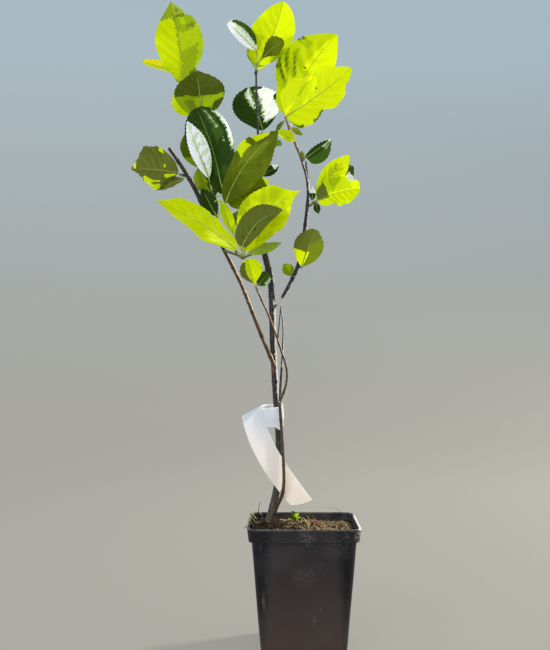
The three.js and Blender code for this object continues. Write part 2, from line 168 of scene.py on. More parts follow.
# Shapes
class Path:
    # a smooth way through guide points (x, y, z, diameter) in millimetres, sampled every so often
    def __init__(self, guide, spacing, roundTip=False):
        stops = [metres(point) for point in guide]
        around = [2 * stops[0] - stops[1], *stops, 2 * stops[-1] - stops[-2]]
        self.places = []
        self.radii = []
        for i in range(len(stops) - 1):
            a, b, c, d = around[i:i + 4]
            before, here, after = (math.sqrt((q - p).length) for p, q in ((a, b), (b, c), (c, d)))
            leave = ((b - a) / before - (c - a) / (before + here) + (c - b) / here) * here
            arrive = ((c - b) / here - (d - b) / (here + after) + (d - c) / after) * here
            count = max(2, round((c - b).length / (spacing * mm)))
            for k in range(count + (i == len(stops) - 2)):
                t = k / count
                bend = (3 * (c - b) - 2 * leave - arrive) * t ** 2 + (2 * (b - c) + leave + arrive) * t ** 3
                self.places.append(b + leave * t + bend)
                self.radii.append((guide[i][3] * (1 - t) + guide[i + 1][3] * t) / 2 * mm)
        self.run = [0]
        for p, q in zip(self.places, self.places[1:]):
            self.run.append(self.run[-1] + (q - p).length)
        if roundTip:
            for i, radius in enumerate(self.radii):
                left = (self.run[-1] - self.run[i]) / radius
                self.radii[i] = radius * math.sqrt(max(0.03, 1 - max(0, 1 - left) ** 2))

    def tangent(self, i):
        last = len(self.places) - 1
        return (self.places[min(i + 1, last)] - self.places[max(i - 1, 0)]).normalized()

    def at(self, share):
        goal = share * self.run[-1]
        i = next((k for k, run in enumerate(self.run) if run >= goal), len(self.run) - 1)
        return self.places[i], self.tangent(i)

    def frames(self, swell):
        side = self.tangent(0).orthogonal().normalized()
        for i, place in enumerate(self.places):
            ahead = self.tangent(i)
            side = squareTo(ahead, side)
            turn = Matrix((side, ahead.cross(side), ahead)).transposed().to_4x4()
            yield Matrix.Translation(place) @ turn @ Matrix.Scale(self.radii[i] * swell(self.run[i]), 4)


def extendRing(bm, ring, change):
    # draws a closed ring of edges out by one step
    drawn = bmesh.ops.extrude_edge_only(bm, edges=ring)["geom"]
    corners = [part for part in drawn if isinstance(part, bmesh.types.BMVert)]
    fresh = set(corners)
    bmesh.ops.transform(bm, matrix=change, verts=corners)
    return [part for part in drawn if isinstance(part, bmesh.types.BMEdge) and fresh.issuperset(part.verts)]


def startRing(bm, sides, radius, matrix=Matrix()):
    # the edges of a filled circle
    made = bmesh.ops.create_circle(bm, cap_ends=True, segments=sides, radius=radius, matrix=matrix)
    return list({edge for corner in made["verts"] for edge in corner.link_edges})


def growLimb(bm, path, sides, slot=0, joints=(), jointSize=0.18, jointLength=1.3):
    # a round limb with a small swelling at each joint, given as distances in millimetres
    def swell(run):
        rise = sum(math.exp(-((run / mm - joint) / jointLength) ** 2) for joint in joints)
        return 1 + jointSize * rise

    before = len(bm.faces)
    ring = last = None
    for stance in path.frames(swell):
        ring = extendRing(bm, ring, stance @ last.inverted()) if ring else startRing(bm, sides, 1, stance)
        last = stance
    bmesh.ops.contextual_create(bm, geom=ring)
    bm.faces.ensure_lookup_table()
    skin = bm.faces[before:]
    for face in skin:
        face.material_index = slot
    bmesh.ops.recalc_face_normals(bm, faces=skin)
    return skin


def newObject(name, bm, finishes=(), smooth=True):
    mesh = bpy.data.meshes.new(name)
    bm.to_mesh(mesh)
    bm.free()
    for finish in finishes:
        mesh.materials.append(finish.material)
    if smooth:
        mesh.shade_smooth()
    else:
        mesh.shade_flat()
    made = bpy.data.objects.new(name, mesh)
    bpy.context.collection.objects.link(made)
    return made


def addPiece(name, bm, finishes, slot, replaced, smooth=True):
    piece = newObject(name, bm, finishes, smooth)
    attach(piece, "root")
    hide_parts(*replaced)
    print(name, len(piece.data.polygons), "faces")
    return piece


# Camera, floor and light
view = {"place": (-23, -807, 230), "tilt": 2.24, "lens": 53.72}
camera = bpy.data.objects.new("camera", bpy.data.cameras.new("camera"))
camera.data.sensor_width = 36
camera.data.lens = view["lens"]
camera.data.clip_start = 0.01
camera.location = metres(view["place"])
camera.rotation_euler = (math.radians(90 + view["tilt"]), 0, 0)
bpy.context.collection.objects.link(camera)
scene.camera = camera

studio = {
    "paint": "#4c4c4a", "lowGlow": "#908f88", "highGlow": "#9eb0b9", "flatRadius": 1.2, "wallRadius": 3.6,
    "wallHeight": 3.2, "segments": 96, "steps": 24, "sky": "#dfe8f2", "skyStrength": 0.72,
    # place, size, power, tint
    "lamps": {
        "sun": ((1.34, 0.94, 1.77), 0.3, 74, "#fff4de"), "lowSun": ((1.6, 1.15, 0.6), 0.09, 30, "#fff0dc"),
        "frontLight": ((-0.9, -1.5, 0.9), 1.4, 21, "#f6f6fb"), "sideLight": ((1.5, -0.6, 0.5), 1.0, 5, "#fff4e6"),
    },
    "aim": (-0.03, 0, 0.3),
}


def buildStudio(look):
    paint = Finish("studioPaint", {"Roughness": 0.9, "Specular IOR Level": 0.1})
    paint.skin.inputs["Base Color"].default_value = fromHex(look["paint"])
    paint.skin.inputs["Emission Strength"].default_value = 1
    upwards = paint.height().band(0.05, 1.5)
    paint.feed(Emission_Color=paint.blend(upwards, look["lowGlow"], look["highGlow"]))
    bm = bmesh.new()
    ring = startRing(bm, look["segments"], look["flatRadius"])
    reach, rise = look["flatRadius"], 0
    for step in range(1, look["steps"] + 1):
        # the floor runs up into the wall in a quarter round
        turn = math.radians(90) * step / look["steps"]
        wide = look["flatRadius"] + (look["wallRadius"] - look["flatRadius"]) * math.sin(turn)
        high = look["wallHeight"] * (1 - math.cos(turn))
        grow = Matrix.Diagonal((wide / reach, wide / reach, 1, 1))
        ring = extendRing(bm, ring, Matrix.Translation((0, 0, high - rise)) @ grow)
        reach, rise = wide, high
    floor = newObject("studioFloor", bm, [paint])
    floor.visible_shadow = floor.visible_diffuse = floor.visible_glossy = floor.visible_transmission = False
    for name, (place, size, power, tint) in look["lamps"].items():
        light = bpy.data.objects.new(name, bpy.data.lights.new(name, "AREA"))
        light.data.size = size
        light.data.energy = power
        light.data.color = fromHex(tint)[:3]
        light.location = place
        aim = Vector(look["aim"]) - light.location
        light.rotation_euler = aim.to_track_quat("-Z", "Y").to_euler()
        bpy.context.collection.objects.link(light)
    world = bpy.data.worlds.new("studioSky")
    world.use_nodes = True
    sky = world.node_tree.nodes["Background"]
    sky.inputs["Color"].default_value = fromHex(look["sky"])
    sky.inputs["Strength"].default_value = look["skyStrength"]
    scene.world = world


buildStudio(studio)
print("studio and camera ready")

# The pot: a rounded square drawn up its outside, over the lip and down its inside
pot = {
    "foot": 34.2, "shoulder": 41.6, "rim": 45, "height": 100, "band": 11, "step": 2.4, "corner": 0.19,
    "wall": 1.3, "floor": 2.5, "drainRadius": 3.5, "drainPlace": 19, "wave": 0.22, "cornerSegments": 9, "sideCuts": 11,
}


def potFinish():
    plastic = Finish("blackPlastic", {"Specular IOR Level": 0.2})
    height = plastic.height()
    # painted reflections: the rounded corners are painted near black and the lower wall a warmer brown, as the glossy
    # plastic mirrors its surroundings
    corners = (plastic.axis(0).size() * plastic.axis(1).size()).band(0.0010, 0.00128)
    smears = plastic.noise(26, 5).band(0.5, 0.78)
    lowReflection = plastic.blend(height.band(0.075, 0.01), "#272221", "#3f312b")
    shell = plastic.blend(corners, lowReflection, "#0c0a0a")
    shell = plastic.blend(smears * 0.3, shell, "#4a4542")
    scrapes = plastic.noise(260, 4, (1, 1, 0.12), 0.6).band(0.62, 0.72) * plastic.noise(45, 2).band(0.5, 0.62)
    shell = plastic.blend(scrapes * 0.25, shell, "#7d7a78")
    # earth and dust stay on the band, under it, and on the middle of the front; the strong patch at the right front
    # corner is also painted highlight, for sparkles where the sun catches it
    specks = plastic.noise(640, 4, (1, 1, 1.2), 0.75)
    dusty = [((2, -44, 93), 9, 0.45), ((36, -42, 94), 10, 0.2), ((46, -42, 95), 8, 3), ((24, -42, 88), 15, 0.16),
             ((0, -41, 62), 12, 0.18), ((12, -40, 66), 12, 0.1), ((-22, -42, 80), 16, 0.06), ((-34, -42, 94), 12, 0.1),
             ((40, 30, 92), 22, 0.7), ((-44, 20, 92), 22, 0.5), ((6, 44, 92), 26, 0.6), ((-10, 40, 50), 26, 0.4)]
    for point, radius, share in dusty:
        patch = plastic.near(point, radius) * specks.band(0.47, 0.66) * share
        shell = plastic.blend(patch.band(0, 1), shell, "#9a948b")
    lip = height.band(0.0984, 0.0998) * plastic.noise(220, 4).band(0.3, 0.6)
    shell = plastic.blend(lip * 0.45, shell, "#8a8883")
    # painted highlight: the right of the lip is painted near white where the sun catches it
    lipHighlight = height.band(0.0984, 0.0994) * plastic.axis(0).band(0.0424, 0.0434) * plastic.axis(1).band(0.034, 0.022)
    plastic.feed(Base_Color=plastic.blend(lipHighlight * 0.9, shell, "#e4ded4"))
    plastic.feed(Roughness=0.42 + smears * 0.2 + specks * 0.1)
    plastic.relief(plastic.noise(520, 3) * 0.3 + plastic.noise(60, 2) + scrapes * 0.5, 0.0002)
    return plastic


def buildPot(size):
    foot, shoulder, rim, wall, top = (size[key] for key in ("foot", "shoulder", "rim", "wall", "height"))
    under, ledge, flare = top - size["band"], shoulder + size["step"], shoulder - foot
    # height and half width of each ring
    rows = [
        (0, foot - 0.9), (0.25, foot - 0.35), (0.9, foot), *((z, foot + flare * z / under) for z in range(6, 88, 6)),
        (under - 0.4, shoulder), (under, shoulder + 0.25), (under + 0.1, ledge - 0.6), (under + 0.5, ledge - 0.12),
        (under + 1, ledge), (under + 4, rim - 0.68), (under + 8, rim - 0.2), (top - 0.7, rim), (top - 0.25, rim - 0.12),
        (top, rim - 0.45), (top, rim - 0.9), (top - 0.25, rim - 1.25), (top - 0.8, rim - wall - 0.1),
        (under + 2.2, ledge - wall), (under + 1.4, shoulder - wall),
        *((z, foot - wall + flare * z / under) for z in (80, 60, 40, 20, size["floor"])),
    ]
    bm = bmesh.new()
    bmesh.ops.create_grid(bm, x_segments=1, y_segments=1, size=rows[0][1] * mm)
    bmesh.ops.bevel(bm, geom=bm.verts[:], offset=size["corner"] * rows[0][1] * mm, offset_type="OFFSET",
                    affect="VERTICES", segments=size["cornerSegments"], profile=0.5, material=-1)
    sides = [edge for edge in bm.edges if edge.calc_length() > 0.02]
    bmesh.ops.subdivide_edges(bm, edges=sides, cuts=size["sideCuts"])
    ring = bm.edges[:]
    for (lowZ, lowHalf), (z, half) in zip(rows, rows[1:]):
        grow = Matrix.Diagonal((half / lowHalf, half / lowHalf, 1, 1))
        ring = extendRing(bm, ring, Matrix.Translation((0, 0, (z - lowZ) * mm)) @ grow)
    bmesh.ops.contextual_create(bm, geom=ring)
    bmesh.ops.recalc_face_normals(bm, faces=bm.faces[:])
    for corner in bm.verts:
        # thin walls are never quite flat
        low = ease(corner.co.z, 0.004, 0.03)
        out = Vector((corner.co.x, corner.co.y, 0)).normalized()
        corner.co += out * noise.noise(corner.co * 22) * size["wave"] * mm * low
    piece = addPiece("potShell", bm, [potFinish()], "pot_plastic", ["pot"])
    for x, y in ((-1, -1), (-1, 1), (1, -1), (1, 1)):
        drain = bmesh.new()
        spot = Matrix.Translation((x * size["drainPlace"] * mm, y * size["drainPlace"] * mm, 0.001))
        bmesh.ops.create_cone(drain, cap_ends=True, segments=24, radius1=size["drainRadius"] * mm,
                              radius2=size["drainRadius"] * mm, depth=0.009, matrix=spot)
        tool = newObject("drainTool", drain, smooth=False)
        hole = piece.modifiers.new("drain", "BOOLEAN")
        hole.operation = "DIFFERENCE"
        hole.object = tool
        bpy.context.view_layer.update()
        holed = bpy.data.meshes.new_from_object(piece.evaluated_get(bpy.context.evaluated_depsgraph_get()))
        piece.modifiers.clear()
        piece.data = holed
        bpy.data.objects.remove(tool)
    piece.data.set_sharp_from_angle(angle=math.radians(50))


buildPot(pot)

# The compost and what lies on it
compost = {
    "level": 91.5, "ground": 96, "seat": 11, "mound": 20, "lumps": 0.6, "grain": 0.9, "half": 42.0,
    "bottom": 2.8, "bottomHalf": 32.4, "tuck": 0.95, "cells": 84,
    "crumbs": 2600, "chips": 260, "straws": 640, "crumbSeed": 7, "litterSeed": 19,
    # heaps of litter: x, y, reach, height
    "heaps": [(2, 16, 22, 2.6), (9, 2, 7, 5), (20, -12, 8, 2.6), (33, 4, 8, 5), (-38, 34, 7, 3.4), (-12, -30, 9, 1.6)],
    # single straws, chips and sprigs: guide points and tone
    "placed": [
        ([(-36.5, 12, 94, 0.9), (-37, 11, 101, 0.7), (-36.6, 10, 108, 0.5), (-35.6, 9.5, 114.5, 0.35)], 4),
        ([(-42, 6, 94, 0.7), (-40, 2, 97.5, 0.6), (-37, -2, 97, 0.4)], 1),
        ([(-1.4, 8, 93.5, 0.6), (-0.4, 6, 101, 0.55), (3, -4, 99.5, 0.5), (4.6, -18, 95.5, 0.4),
          (5, -30, 93.5, 0.3)], 0),
        ([(6.2, 0, 93, 0.7), (5.6, 0, 98, 0.7), (4.2, 0, 103.5, 0.3)], 3),
        ([(3.6, -20, 93, 0.6), (4.4, -20, 98, 0.6), (6, -21, 101.5, 0.3)], 3),
        ([(9, 4, 101, 0.8), (14, -4, 99, 0.9), (22, -14, 94.5, 0.6)], 2),
        ([(8, -2, 99, 0.6), (16, -12, 97, 0.8), (24, -22, 93.5, 0.6)], 2),
        ([(36, 24, 95, 0.35), (33.6, 26, 102, 0.35), (29, 28, 105.5, 0.3), (22, 29, 106, 0.25)], 4),
        ([(-41, -24, 96, 0.7), (-44.6, -30, 100.6, 0.6), (-48, -34, 99, 0.35)], 4),
        ([(-40, -28, 95, 0.6), (-43.6, -34, 100.4, 0.5), (-46.4, -40, 100.2, 0.3)], 4),
        ([(-38, 30, 95, 0.6), (-42, 33, 101, 0.6), (-38, 36, 102.5, 0.5), (-34, 34, 99, 0.4)], 0),
        ([(-40, 24, 95, 0.6), (-43.6, 16, 100.8, 0.5), (-45.6, 8, 100.8, 0.4)], 0),
        ([(-40, 0, 94, 0.7), (-43.8, -6, 100.6, 0.6), (-45.4, -13, 100.5, 0.5), (-44, -18, 101.4, 0.4)], 0),
    ],
}
trunkFoot = (-27.4, 12)


def soilHeight(x, y):
    # millimetres: lumps that rise to a seat round the trunk
    away = max(math.hypot(x - trunkFoot[0], y - trunkFoot[1]) - compost["seat"], 0) / compost["mound"]
    seat = math.exp(-away * away)
    lumps = math.sin(x * 0.5) * math.cos(y * 0.43) + math.sin(y * 0.3 + 1)
    plain = compost["level"] + compost["lumps"] * lumps
    grain = compost["grain"] * noise.fractal(Vector((x, y, 0)) * 0.22, 0.9, 2.1, 4)
    for heapX, heapY, reach, high in compost["heaps"]:
        grain += high * math.exp(-((x - heapX) ** 2 + (y - heapY) ** 2) / reach ** 2)
    return plain * (1 - seat) + (compost["ground"] - 0.1) * seat + grain * (1 - 0.6 * seat)


def squareShare(x, y):
    # where a point of the flat square falls on the rounded one
    flat = 1 - pot["corner"]
    inX, inY = min(max(x, -flat), flat), min(max(y, -flat), flat)
    outX, outY = x - inX, y - inY
    reach, long = max(abs(outX), abs(outY)), math.hypot(outX, outY)
    keep = reach / long if long > 0 else 0
    return inX + outX * keep, inY + outY * keep


def soilFinish(name, dark, light, rough=0.95):
    earth = Finish(name, {"Roughness": rough, "Specular IOR Level": 0.2})
    grain = earth.noise(700, 5, roughness=0.7)
    damp = earth.noise(60, 3)
    tone = (grain * 0.7 + damp * 0.5).band(0.42, 0.8)
    earth.feed(Base_Color=earth.blend(tone, dark, light))
    earth.relief(grain + earth.cells(900) * 0.5, 0.0005)
    return earth


def litterSpot(dice, reach):
    x, y = squareShare(dice.uniform(-reach, reach), dice.uniform(-reach, reach))
    return x * compost["half"], y * compost["half"]


def drynessAndSun(x, y):
    # the right and the front are drier and carry more pale litter, and are also painted lighter as if sunlit; the left
    # is damp and darker, partly painted shade
    return ease(x + 0.25 * y + 9 * noise.noise(Vector((x, y, 3)) * 0.06), -22, 14)


def buildCompost(look):
    bm = bmesh.new()
    bmesh.ops.create_grid(bm, x_segments=look["cells"], y_segments=look["cells"], size=1)
    rim = [edge for edge in bm.edges if edge.is_boundary]
    for corner in bm.verts:
        x, y = squareShare(corner.co.x, corner.co.y)
        x, y = x * look["half"], y * look["half"]
        corner.co = metres((x, y, soilHeight(x, y)))
    # the edge is tucked in, and the sides run down to a flat bottom
    tuck, shrink = look["tuck"], look["bottomHalf"] / look["half"]
    rim = extendRing(bm, rim, Matrix.Translation((0, 0, -0.003)) @ Matrix.Diagonal((tuck, tuck, 1, 1)))
    rim = extendRing(bm, rim, Matrix.Diagonal((shrink / tuck, shrink / tuck, 0.05, 1)))
    for corner in {corner for edge in rim for corner in edge.verts}:
        corner.co.z = look["bottom"] * mm
    bmesh.ops.contextual_create(bm, geom=rim)
    bmesh.ops.recalc_face_normals(bm, faces=bm.faces[:])
    addPiece("compost", bm, [soilFinish("dampCompost", "#15100c", "#4a3a2a")], "compost", ["soil"])

    dice = random.Random(look["crumbSeed"])
    bm = bmesh.new()
    for number in range(look["crumbs"]):
        x, y = litterSpot(dice, 1)
        if number % 9 == 0:
            # earth heaped against the trunk
            turn, far = dice.uniform(0, math.tau), dice.uniform(3.5, 10)
            x, y = trunkFoot[0] + far * math.cos(turn), trunkFoot[1] + far * math.sin(turn)
        size = dice.uniform(0.3, 0.7) if dice.random() < 0.88 else dice.uniform(0.8, 1.6)
        # paler crumbs where the earth is dry and where it is painted as sunlit
        dry = drynessAndSun(x, y)
        turn = Quaternion((dice.gauss(0, 1), dice.gauss(0, 1), dice.gauss(0, 1), dice.gauss(0, 1))).normalized()
        shape = Matrix.Diagonal((dice.uniform(0.7, 1.5), dice.uniform(0.6, 1.1), dice.uniform(0.4, 0.9), 1))
        spot = Matrix.Translation(metres((x, y, soilHeight(x, y) + size * 0.25)))
        made = bmesh.ops.create_icosphere(bm, subdivisions=1, radius=size * mm,
                                          matrix=spot @ turn.to_matrix().to_4x4() @ shape)
        tone = 1 if dice.random() < 0.15 + 0.4 * dry else 0
        if dice.random() < 0.16 * dry:
            tone = 2
        # rusty crumbs lie in a patch at the right
        if 4 < x < 24 and -16 < y < 16 and dice.random() < 0.5:
            tone = 3
        for corner in made["verts"]:
            corner.co += noise.noise_vector(corner.co * 1400) * size * 0.35 * mm
            for face in corner.link_faces:
                face.material_index = tone
    tones = [
        soilFinish("darkCrumb", "#120d0a", "#33271c"), soilFinish("brownCrumb", "#33261a", "#65502f"),
        soilFinish("dryCrumb", "#84693a", "#b8a068", 0.85), soilFinish("rustyCrumb", "#80523a", "#b98468"),
    ]
    addPiece("compostCrumbs", bm, tones, "compost", ["soil"], smooth=False)


def buildLitter(look):
    dice = random.Random(look["litterSeed"])
    bm = bmesh.new()
    for _ in range(look["chips"] + look["straws"]):
        x, y = litterSpot(dice, 0.95)
        straw = dice.random() < look["straws"] / (look["chips"] + look["straws"])
        if dice.random() > 0.12 + 0.9 * drynessAndSun(x, y):
            continue
        long = dice.uniform(3, 11) if straw else dice.uniform(1.5, 4)
        thick = dice.uniform(0.2, 0.42) if straw else dice.uniform(0.4, 0.9)
        heading = dice.uniform(0, math.tau)
        step = Vector((math.cos(heading), math.sin(heading))) * long / 2
        limit = look["half"] - 1.5
        ends = [[min(max(spot, -limit), limit) for spot in (x + k * step.x, y + k * step.y)] for k in (-1, 0, 1)]
        lift = [dice.uniform(0.1, 2.2 if straw else 0.8) for _ in ends]
        ends[1] = (ends[1][0] + dice.gauss(0, 0.12) * long, ends[1][1] + dice.gauss(0, 0.12) * long)
        guide = [(u, v, soilHeight(u, v) + rise, thick * taper)
                 for (u, v), rise, taper in zip(ends, lift, (0.8, 1, 0.5))]
        rusty = 4 < x < 26 and dice.random() < 0.3
        growLimb(bm, Path(guide, 1.2), 4, slot=2 if rusty else dice.choice((0, 0, 0, 1, 1)))
    for guide, tone in look["placed"]:
        growLimb(bm, Path(guide, 0.8, roundTip=True), 6, slot=tone)
    tones = [
        soilFinish("paleStraw", "#a28e5a", "#e2d3a6", 0.8), soilFinish("brownChip", "#4a3725", "#7a6142", 0.85),
        soilFinish("reddishBark", "#6b4a34", "#ad8562", 0.85), soilFinish("grassBlade", "#8e9a24", "#c3cc4a", 0.7),
        soilFinish("darkSprig", "#16110e", "#3a2f26", 0.7),
    ]
    addPiece("strawAndChips", bm, tones, "compost", ["soil"])


buildCompost(compost)
buildLitter(compost)
print("pot and compost ready")

# Wood: the limbs' guide points (x, y, z, diameter), along those of the solids
limbs = {
    "trunk": [
        (-27.4, 12, 94.5, 10), (-26.4, 12, 100.5, 7.6), (-24, 11.6, 112, 6.6), (-20.5, 10, 132, 5.9),
        (-19.7, 9, 165, 5.7), (-22.6, 7, 207, 5.3), (-24.8, 4, 249, 5.2), (-26.6, 2, 298, 5.5),
        (-33, 0, 328, 5.7), (-34.6, 0, 340, 2.4), (-37.3, 2, 371, 2.2), (-37.3, 4, 420, 2), (-38.7, 5, 460, 1.9),
    ],
    "left_bough": [
        (-23.2, 4.6, 226.5, 3.6), (-28, 0.6, 238, 3.3), (-36.4, -2, 258, 3.2), (-50.8, -4, 294.6, 3),
        (-66.9, -6, 327, 3.2), (-80.3, -6, 355, 3.8), (-93.6, -7, 382, 3.6), (-111, -8, 408.3, 2.7),
    ],
    "left_spur": [
        (-65.6, -6, 323.6, 1.9), (-59.4, -15, 320.2, 1.7), (-53.9, -20, 317.8, 1.8), (-51, -22, 316.3, 1.9),
    ],
    "right_bough": [
        (-25, 3, 275.5, 2.6), (-19.7, 0, 280.7, 2.5), (-10.5, -2, 295.6, 3.6), (-3.1, -4, 313.8, 3.1),
        (2.3, -6, 347, 2.8), (4.4, -6, 377.8, 2.5), (-0.5, -5, 398, 2.1), (-9.6, -3, 421, 1.8),
    ],
    "basal_shoot": [
        (-25.6, 7.2, 96.5, 4.4), (-24.4, 7.2, 103, 4.1), (-21.4, 6.8, 111, 3.6), (-17.6, 4, 119, 3.1),
        (-15.8, 0.8, 129, 2.7), (-15.8, -1.6, 142, 2.5), (-17.6, -4, 174.7, 2.4), (-19.3, -5, 197.6, 2.4),
    ],
    "arching_shoot": [
        (-18.9, -5.2, 198.3, 2.1), (-14, -8, 212, 1.8), (-13.4, -9, 224, 1.7), (-18.1, -11, 240.6, 1.7),
        (-27.1, -13, 266, 1.6), (-37.2, -15, 288.6, 1.6),
    ],
    "straight_shoot": [
        (-19.2, -4.2, 198.6, 2), (-18.4, -1, 212, 1.9), (-16.6, 2.2, 240.8, 1.6), (-16.3, 2.6, 262, 1.2),
        (-18.4, 1.2, 277, 1.1),
    ],
}
# short stubs and bud twigs that the limbs carry
stubs = {
    "left_bough": [[(-44.2, -3.3, 278.6, 2.4), (-45.6, -4.6, 280.4, 2.2), (-46.6, -5.4, 281.8, 1.1)]],
    "right_bough": [
        [(4.2, -6, 381, 1.7), (3.6, -5.6, 388, 1.6), (3.0, -5.2, 394, 1.5), (2.8, -5, 398.4, 1.2)],
        [(1.4, -5.4, 391.5, 1.4), (0.2, -5.2, 396, 1.5), (-0.5, -5, 401, 1.1), (-0.5, -5, 404.6, 0.5)],
        [(-13, -1.6, 291.6, 2.6), (-12.2, -3.4, 293.2, 2.2), (-11.8, -4.4, 294.4, 1.2)],
    ],
    "left_spur": [
        [(-51.2, -21.8, 316.2, 1.6), (-46, -22.6, 316.4, 1.3), (-41.6, -23.6, 318, 1.5), (-39.4, -24, 319, 0.7)],
    ],
    "arching_shoot": [[(-20.9, -11.8, 250, 1.2), (-19.6, -12.2, 262, 1.1), (-18.3, -12.8, 276.5, 0.9)]],
}


def barkFinish(name, deep, plain, pale, speckle, rough, other=None, change=(), collars=()):
    bark = Finish(name, {"Specular IOR Level": 0.25})
    streaks = bark.noise(900, 4, (1, 1, 0.16), 0.65)
    blotches = bark.noise(150, 3, (1, 1, 0.5))
    specks = bark.cells(520, (1, 1, 1.5)).band(0.34, 0.16)
    wood = bark.blend((streaks * 0.6 + blotches * 0.5).band(0.35, 0.75), deep, plain)
    if other:
        # another tone past a height
        wood = bark.blend(bark.height().band(*change), wood, bark.blend(streaks.band(0.35, 0.7), deep, other))
    for point, radius, tone in collars:
        wood = bark.blend(bark.near(point, radius).band(0, 0.5) * 0.85, wood, tone)
    bark.feed(Base_Color=bark.blend(specks * speckle, wood, pale))
    bark.feed(Roughness=rough + streaks * 0.15)
    bark.relief(streaks + specks * 0.8 + blotches * 0.4, 0.00016)
    return bark


# furrows, plain wood and specks, share of the specks, roughness; another tone and the heights between which it
# sets in, collars round the forks
barks = {
    "oldBark": ("#12110f", "#302e2a", "#8d887e", 0.6, 0.32, "#605b50", (0.175, 0.115),
                [((-23.2, 3, 226), 5, "#5a452e")]),
    "leftBark": ("#241a12", "#553f29", "#94805f", 0.3, 0.32, "#1b1411", (0.318, 0.338)),
    "rightBark": ("#141110", "#2c2624", "#8a827a", 0.4, 0.32, "#6b4638", (0.385, 0.412),
                  [((-19.5, -1, 281), 5, "#c6b9ac")]),
    "shootBark": ("#261c14", "#5a452d", "#a08a66", 0.3, 0.32),
    "oliveTwig": ("#4a3d22", "#76723a", "#a0985c", 0.3, 0.35),
    "darkTwig": ("#1c1517", "#382d30", "#86767a", 0.3, 0.3), "pinkTwig": ("#5c3a30", "#a17260", "#d8b49e", 0.3, 0.3),
    # the two pale tones below are painted highlights, bark where the sun strikes it
    "bleachedBark": ("#a39a92", "#dcd2ca", "#f2ebe4", 0.3, 0.45),
    "creamBark": ("#a98c66", "#dcc29c", "#f0e0c4", 0.2, 0.45),
}
# sides painted in pale tones as painted highlights where the sun strikes them: bark, which way they face, how squarely,
# from and to which height
sunlitSides = {
    "trunk": [("bleachedBark", (0.87, -0.48, 0.1), 0.88, 0.18, 0.28)],
    "left_bough": [("creamBark", (0.86, -0.1, 0.5), 0.64, 0.227, 0.33)],
    "right_bough": [
        ("bleachedBark", (1, -0.1, 0), 0.35, 0.372, 0.4), ("pinkTwig", (-0.9, -0.4, -0.3), 0.3, 0.4, 0.44),
        ("bleachedBark", (0.7, -0.2, -0.7), 0.8, 0.27, 0.3),
    ],
    "arching_shoot": [("creamBark", (0.86, -0.1, 0.5), 0.66, 0.238, 0.3)],
    "straight_shoot": [("bleachedBark", (1, -0.1, 0.1), 0.3, 0.225, 0.3)],
}


def jointsAlong(path, seed, apart):
    dice = random.Random(seed)
    places, run = [], dice.uniform(*apart) / 2
    while run * mm < path.run[-1] - 0.004:
        places.append(run)
        run += dice.uniform(*apart)
    return places


def roughen(bm, depth, scale):
    # bark relief: fine wrinkles round the limb and longer furrows along it
    bm.normal_update()
    for corner in bm.verts:
        spot = corner.co
        wrinkle = noise.noise(Vector((spot.x, spot.y, spot.z * 1.8)) * scale)
        furrow = noise.noise(Vector((spot.x, spot.y, spot.z * 0.12)) * scale * 1.3)
        corner.co = spot + corner.normal * (wrinkle * 0.5 + furrow * 0.6) * depth * mm


def buildWood():
    shapes = [
        # piece, slot, limbs with their bark, sides, relief, spacing and size of joints
        ("trunkWood", "old_bark", {"trunk": "oldBark"}, 26, 0.2, (22, 38), 0.09),
        ("boughWood", "young_bark", {"left_bough": "leftBark", "left_spur": "oliveTwig", "right_bough": "rightBark"},
         18, 0.12, (14, 26), 0.2),
        ("shootWood", "young_bark", {"basal_shoot": "shootBark", "arching_shoot": "shootBark",
                                     "straight_shoot": "rightBark"}, 14, 0.1, (14, 24), 0.2),
    ]
    finishes = {name: barkFinish(name, *look) for name, look in barks.items()}
    for piece, slot, members, sides, depth, apart, swell in shapes:
        bm = bmesh.new()
        used = sorted({*members.values(), "bleachedBark", "creamBark", "pinkTwig"})
        for seed, (name, bark) in enumerate(members.items()):
            path = Path(limbs[name], 0.7)
            skin = growLimb(bm, path, sides, used.index(bark), jointsAlong(path, seed + len(name), apart), swell)
            bm.normal_update()
            # painted highlights: faces that turn towards the sun take a pale sunlit bark
            for lit, sunward, share, low, high in sunlitSides.get(name, []):
                for face in skin:
                    spot = face.calc_center_median()
                    ragged = 0.2 * noise.noise(spot * 260)
                    if face.normal.dot(Vector(sunward)) > share + ragged and low < spot.z + ragged * 0.02 < high:
                        face.material_index = used.index(lit)
            for guide in stubs.get(name, []):
                growLimb(bm, Path(guide, 0.5, roundTip=True), 12, used.index(bark), [2.5], 0.25)
        roughen(bm, depth, 900)
        if piece == "trunkWood":
            ground = bmesh.ops.bisect_plane(bm, geom=bm.verts[:] + bm.edges[:] + bm.faces[:], plane_co=(0, 0, 0.096),
                                            plane_no=(0, 0, 1), clear_inner=True)
            cut = [part for part in ground["geom_cut"] if isinstance(part, bmesh.types.BMEdge)]
            bmesh.ops.contextual_create(bm, geom=cut)
        addPiece(piece, bm, [finishes[bark] for bark in used], slot, list(members))
    return finishes


woodFinishes = buildWood()
print("wood ready")

# The tag: blank film, looped round the trunk, its free end hanging
tag = {
    "wide": 18.5, "long": 87.3, "thick": 0.35, "height": 186.5, "sweep": 6, "heading": -62, "top": (-42, 3, 190.5),
    "sag": 3.4, "tilt": -5, "pivot": 21, "centre": (-25, 7, 0),
    "loop": [(-34.6, 4.9), (-30, 2.4), (-22, 1.2), (-16, 5), (-18, 13), (-28, 12)],
}


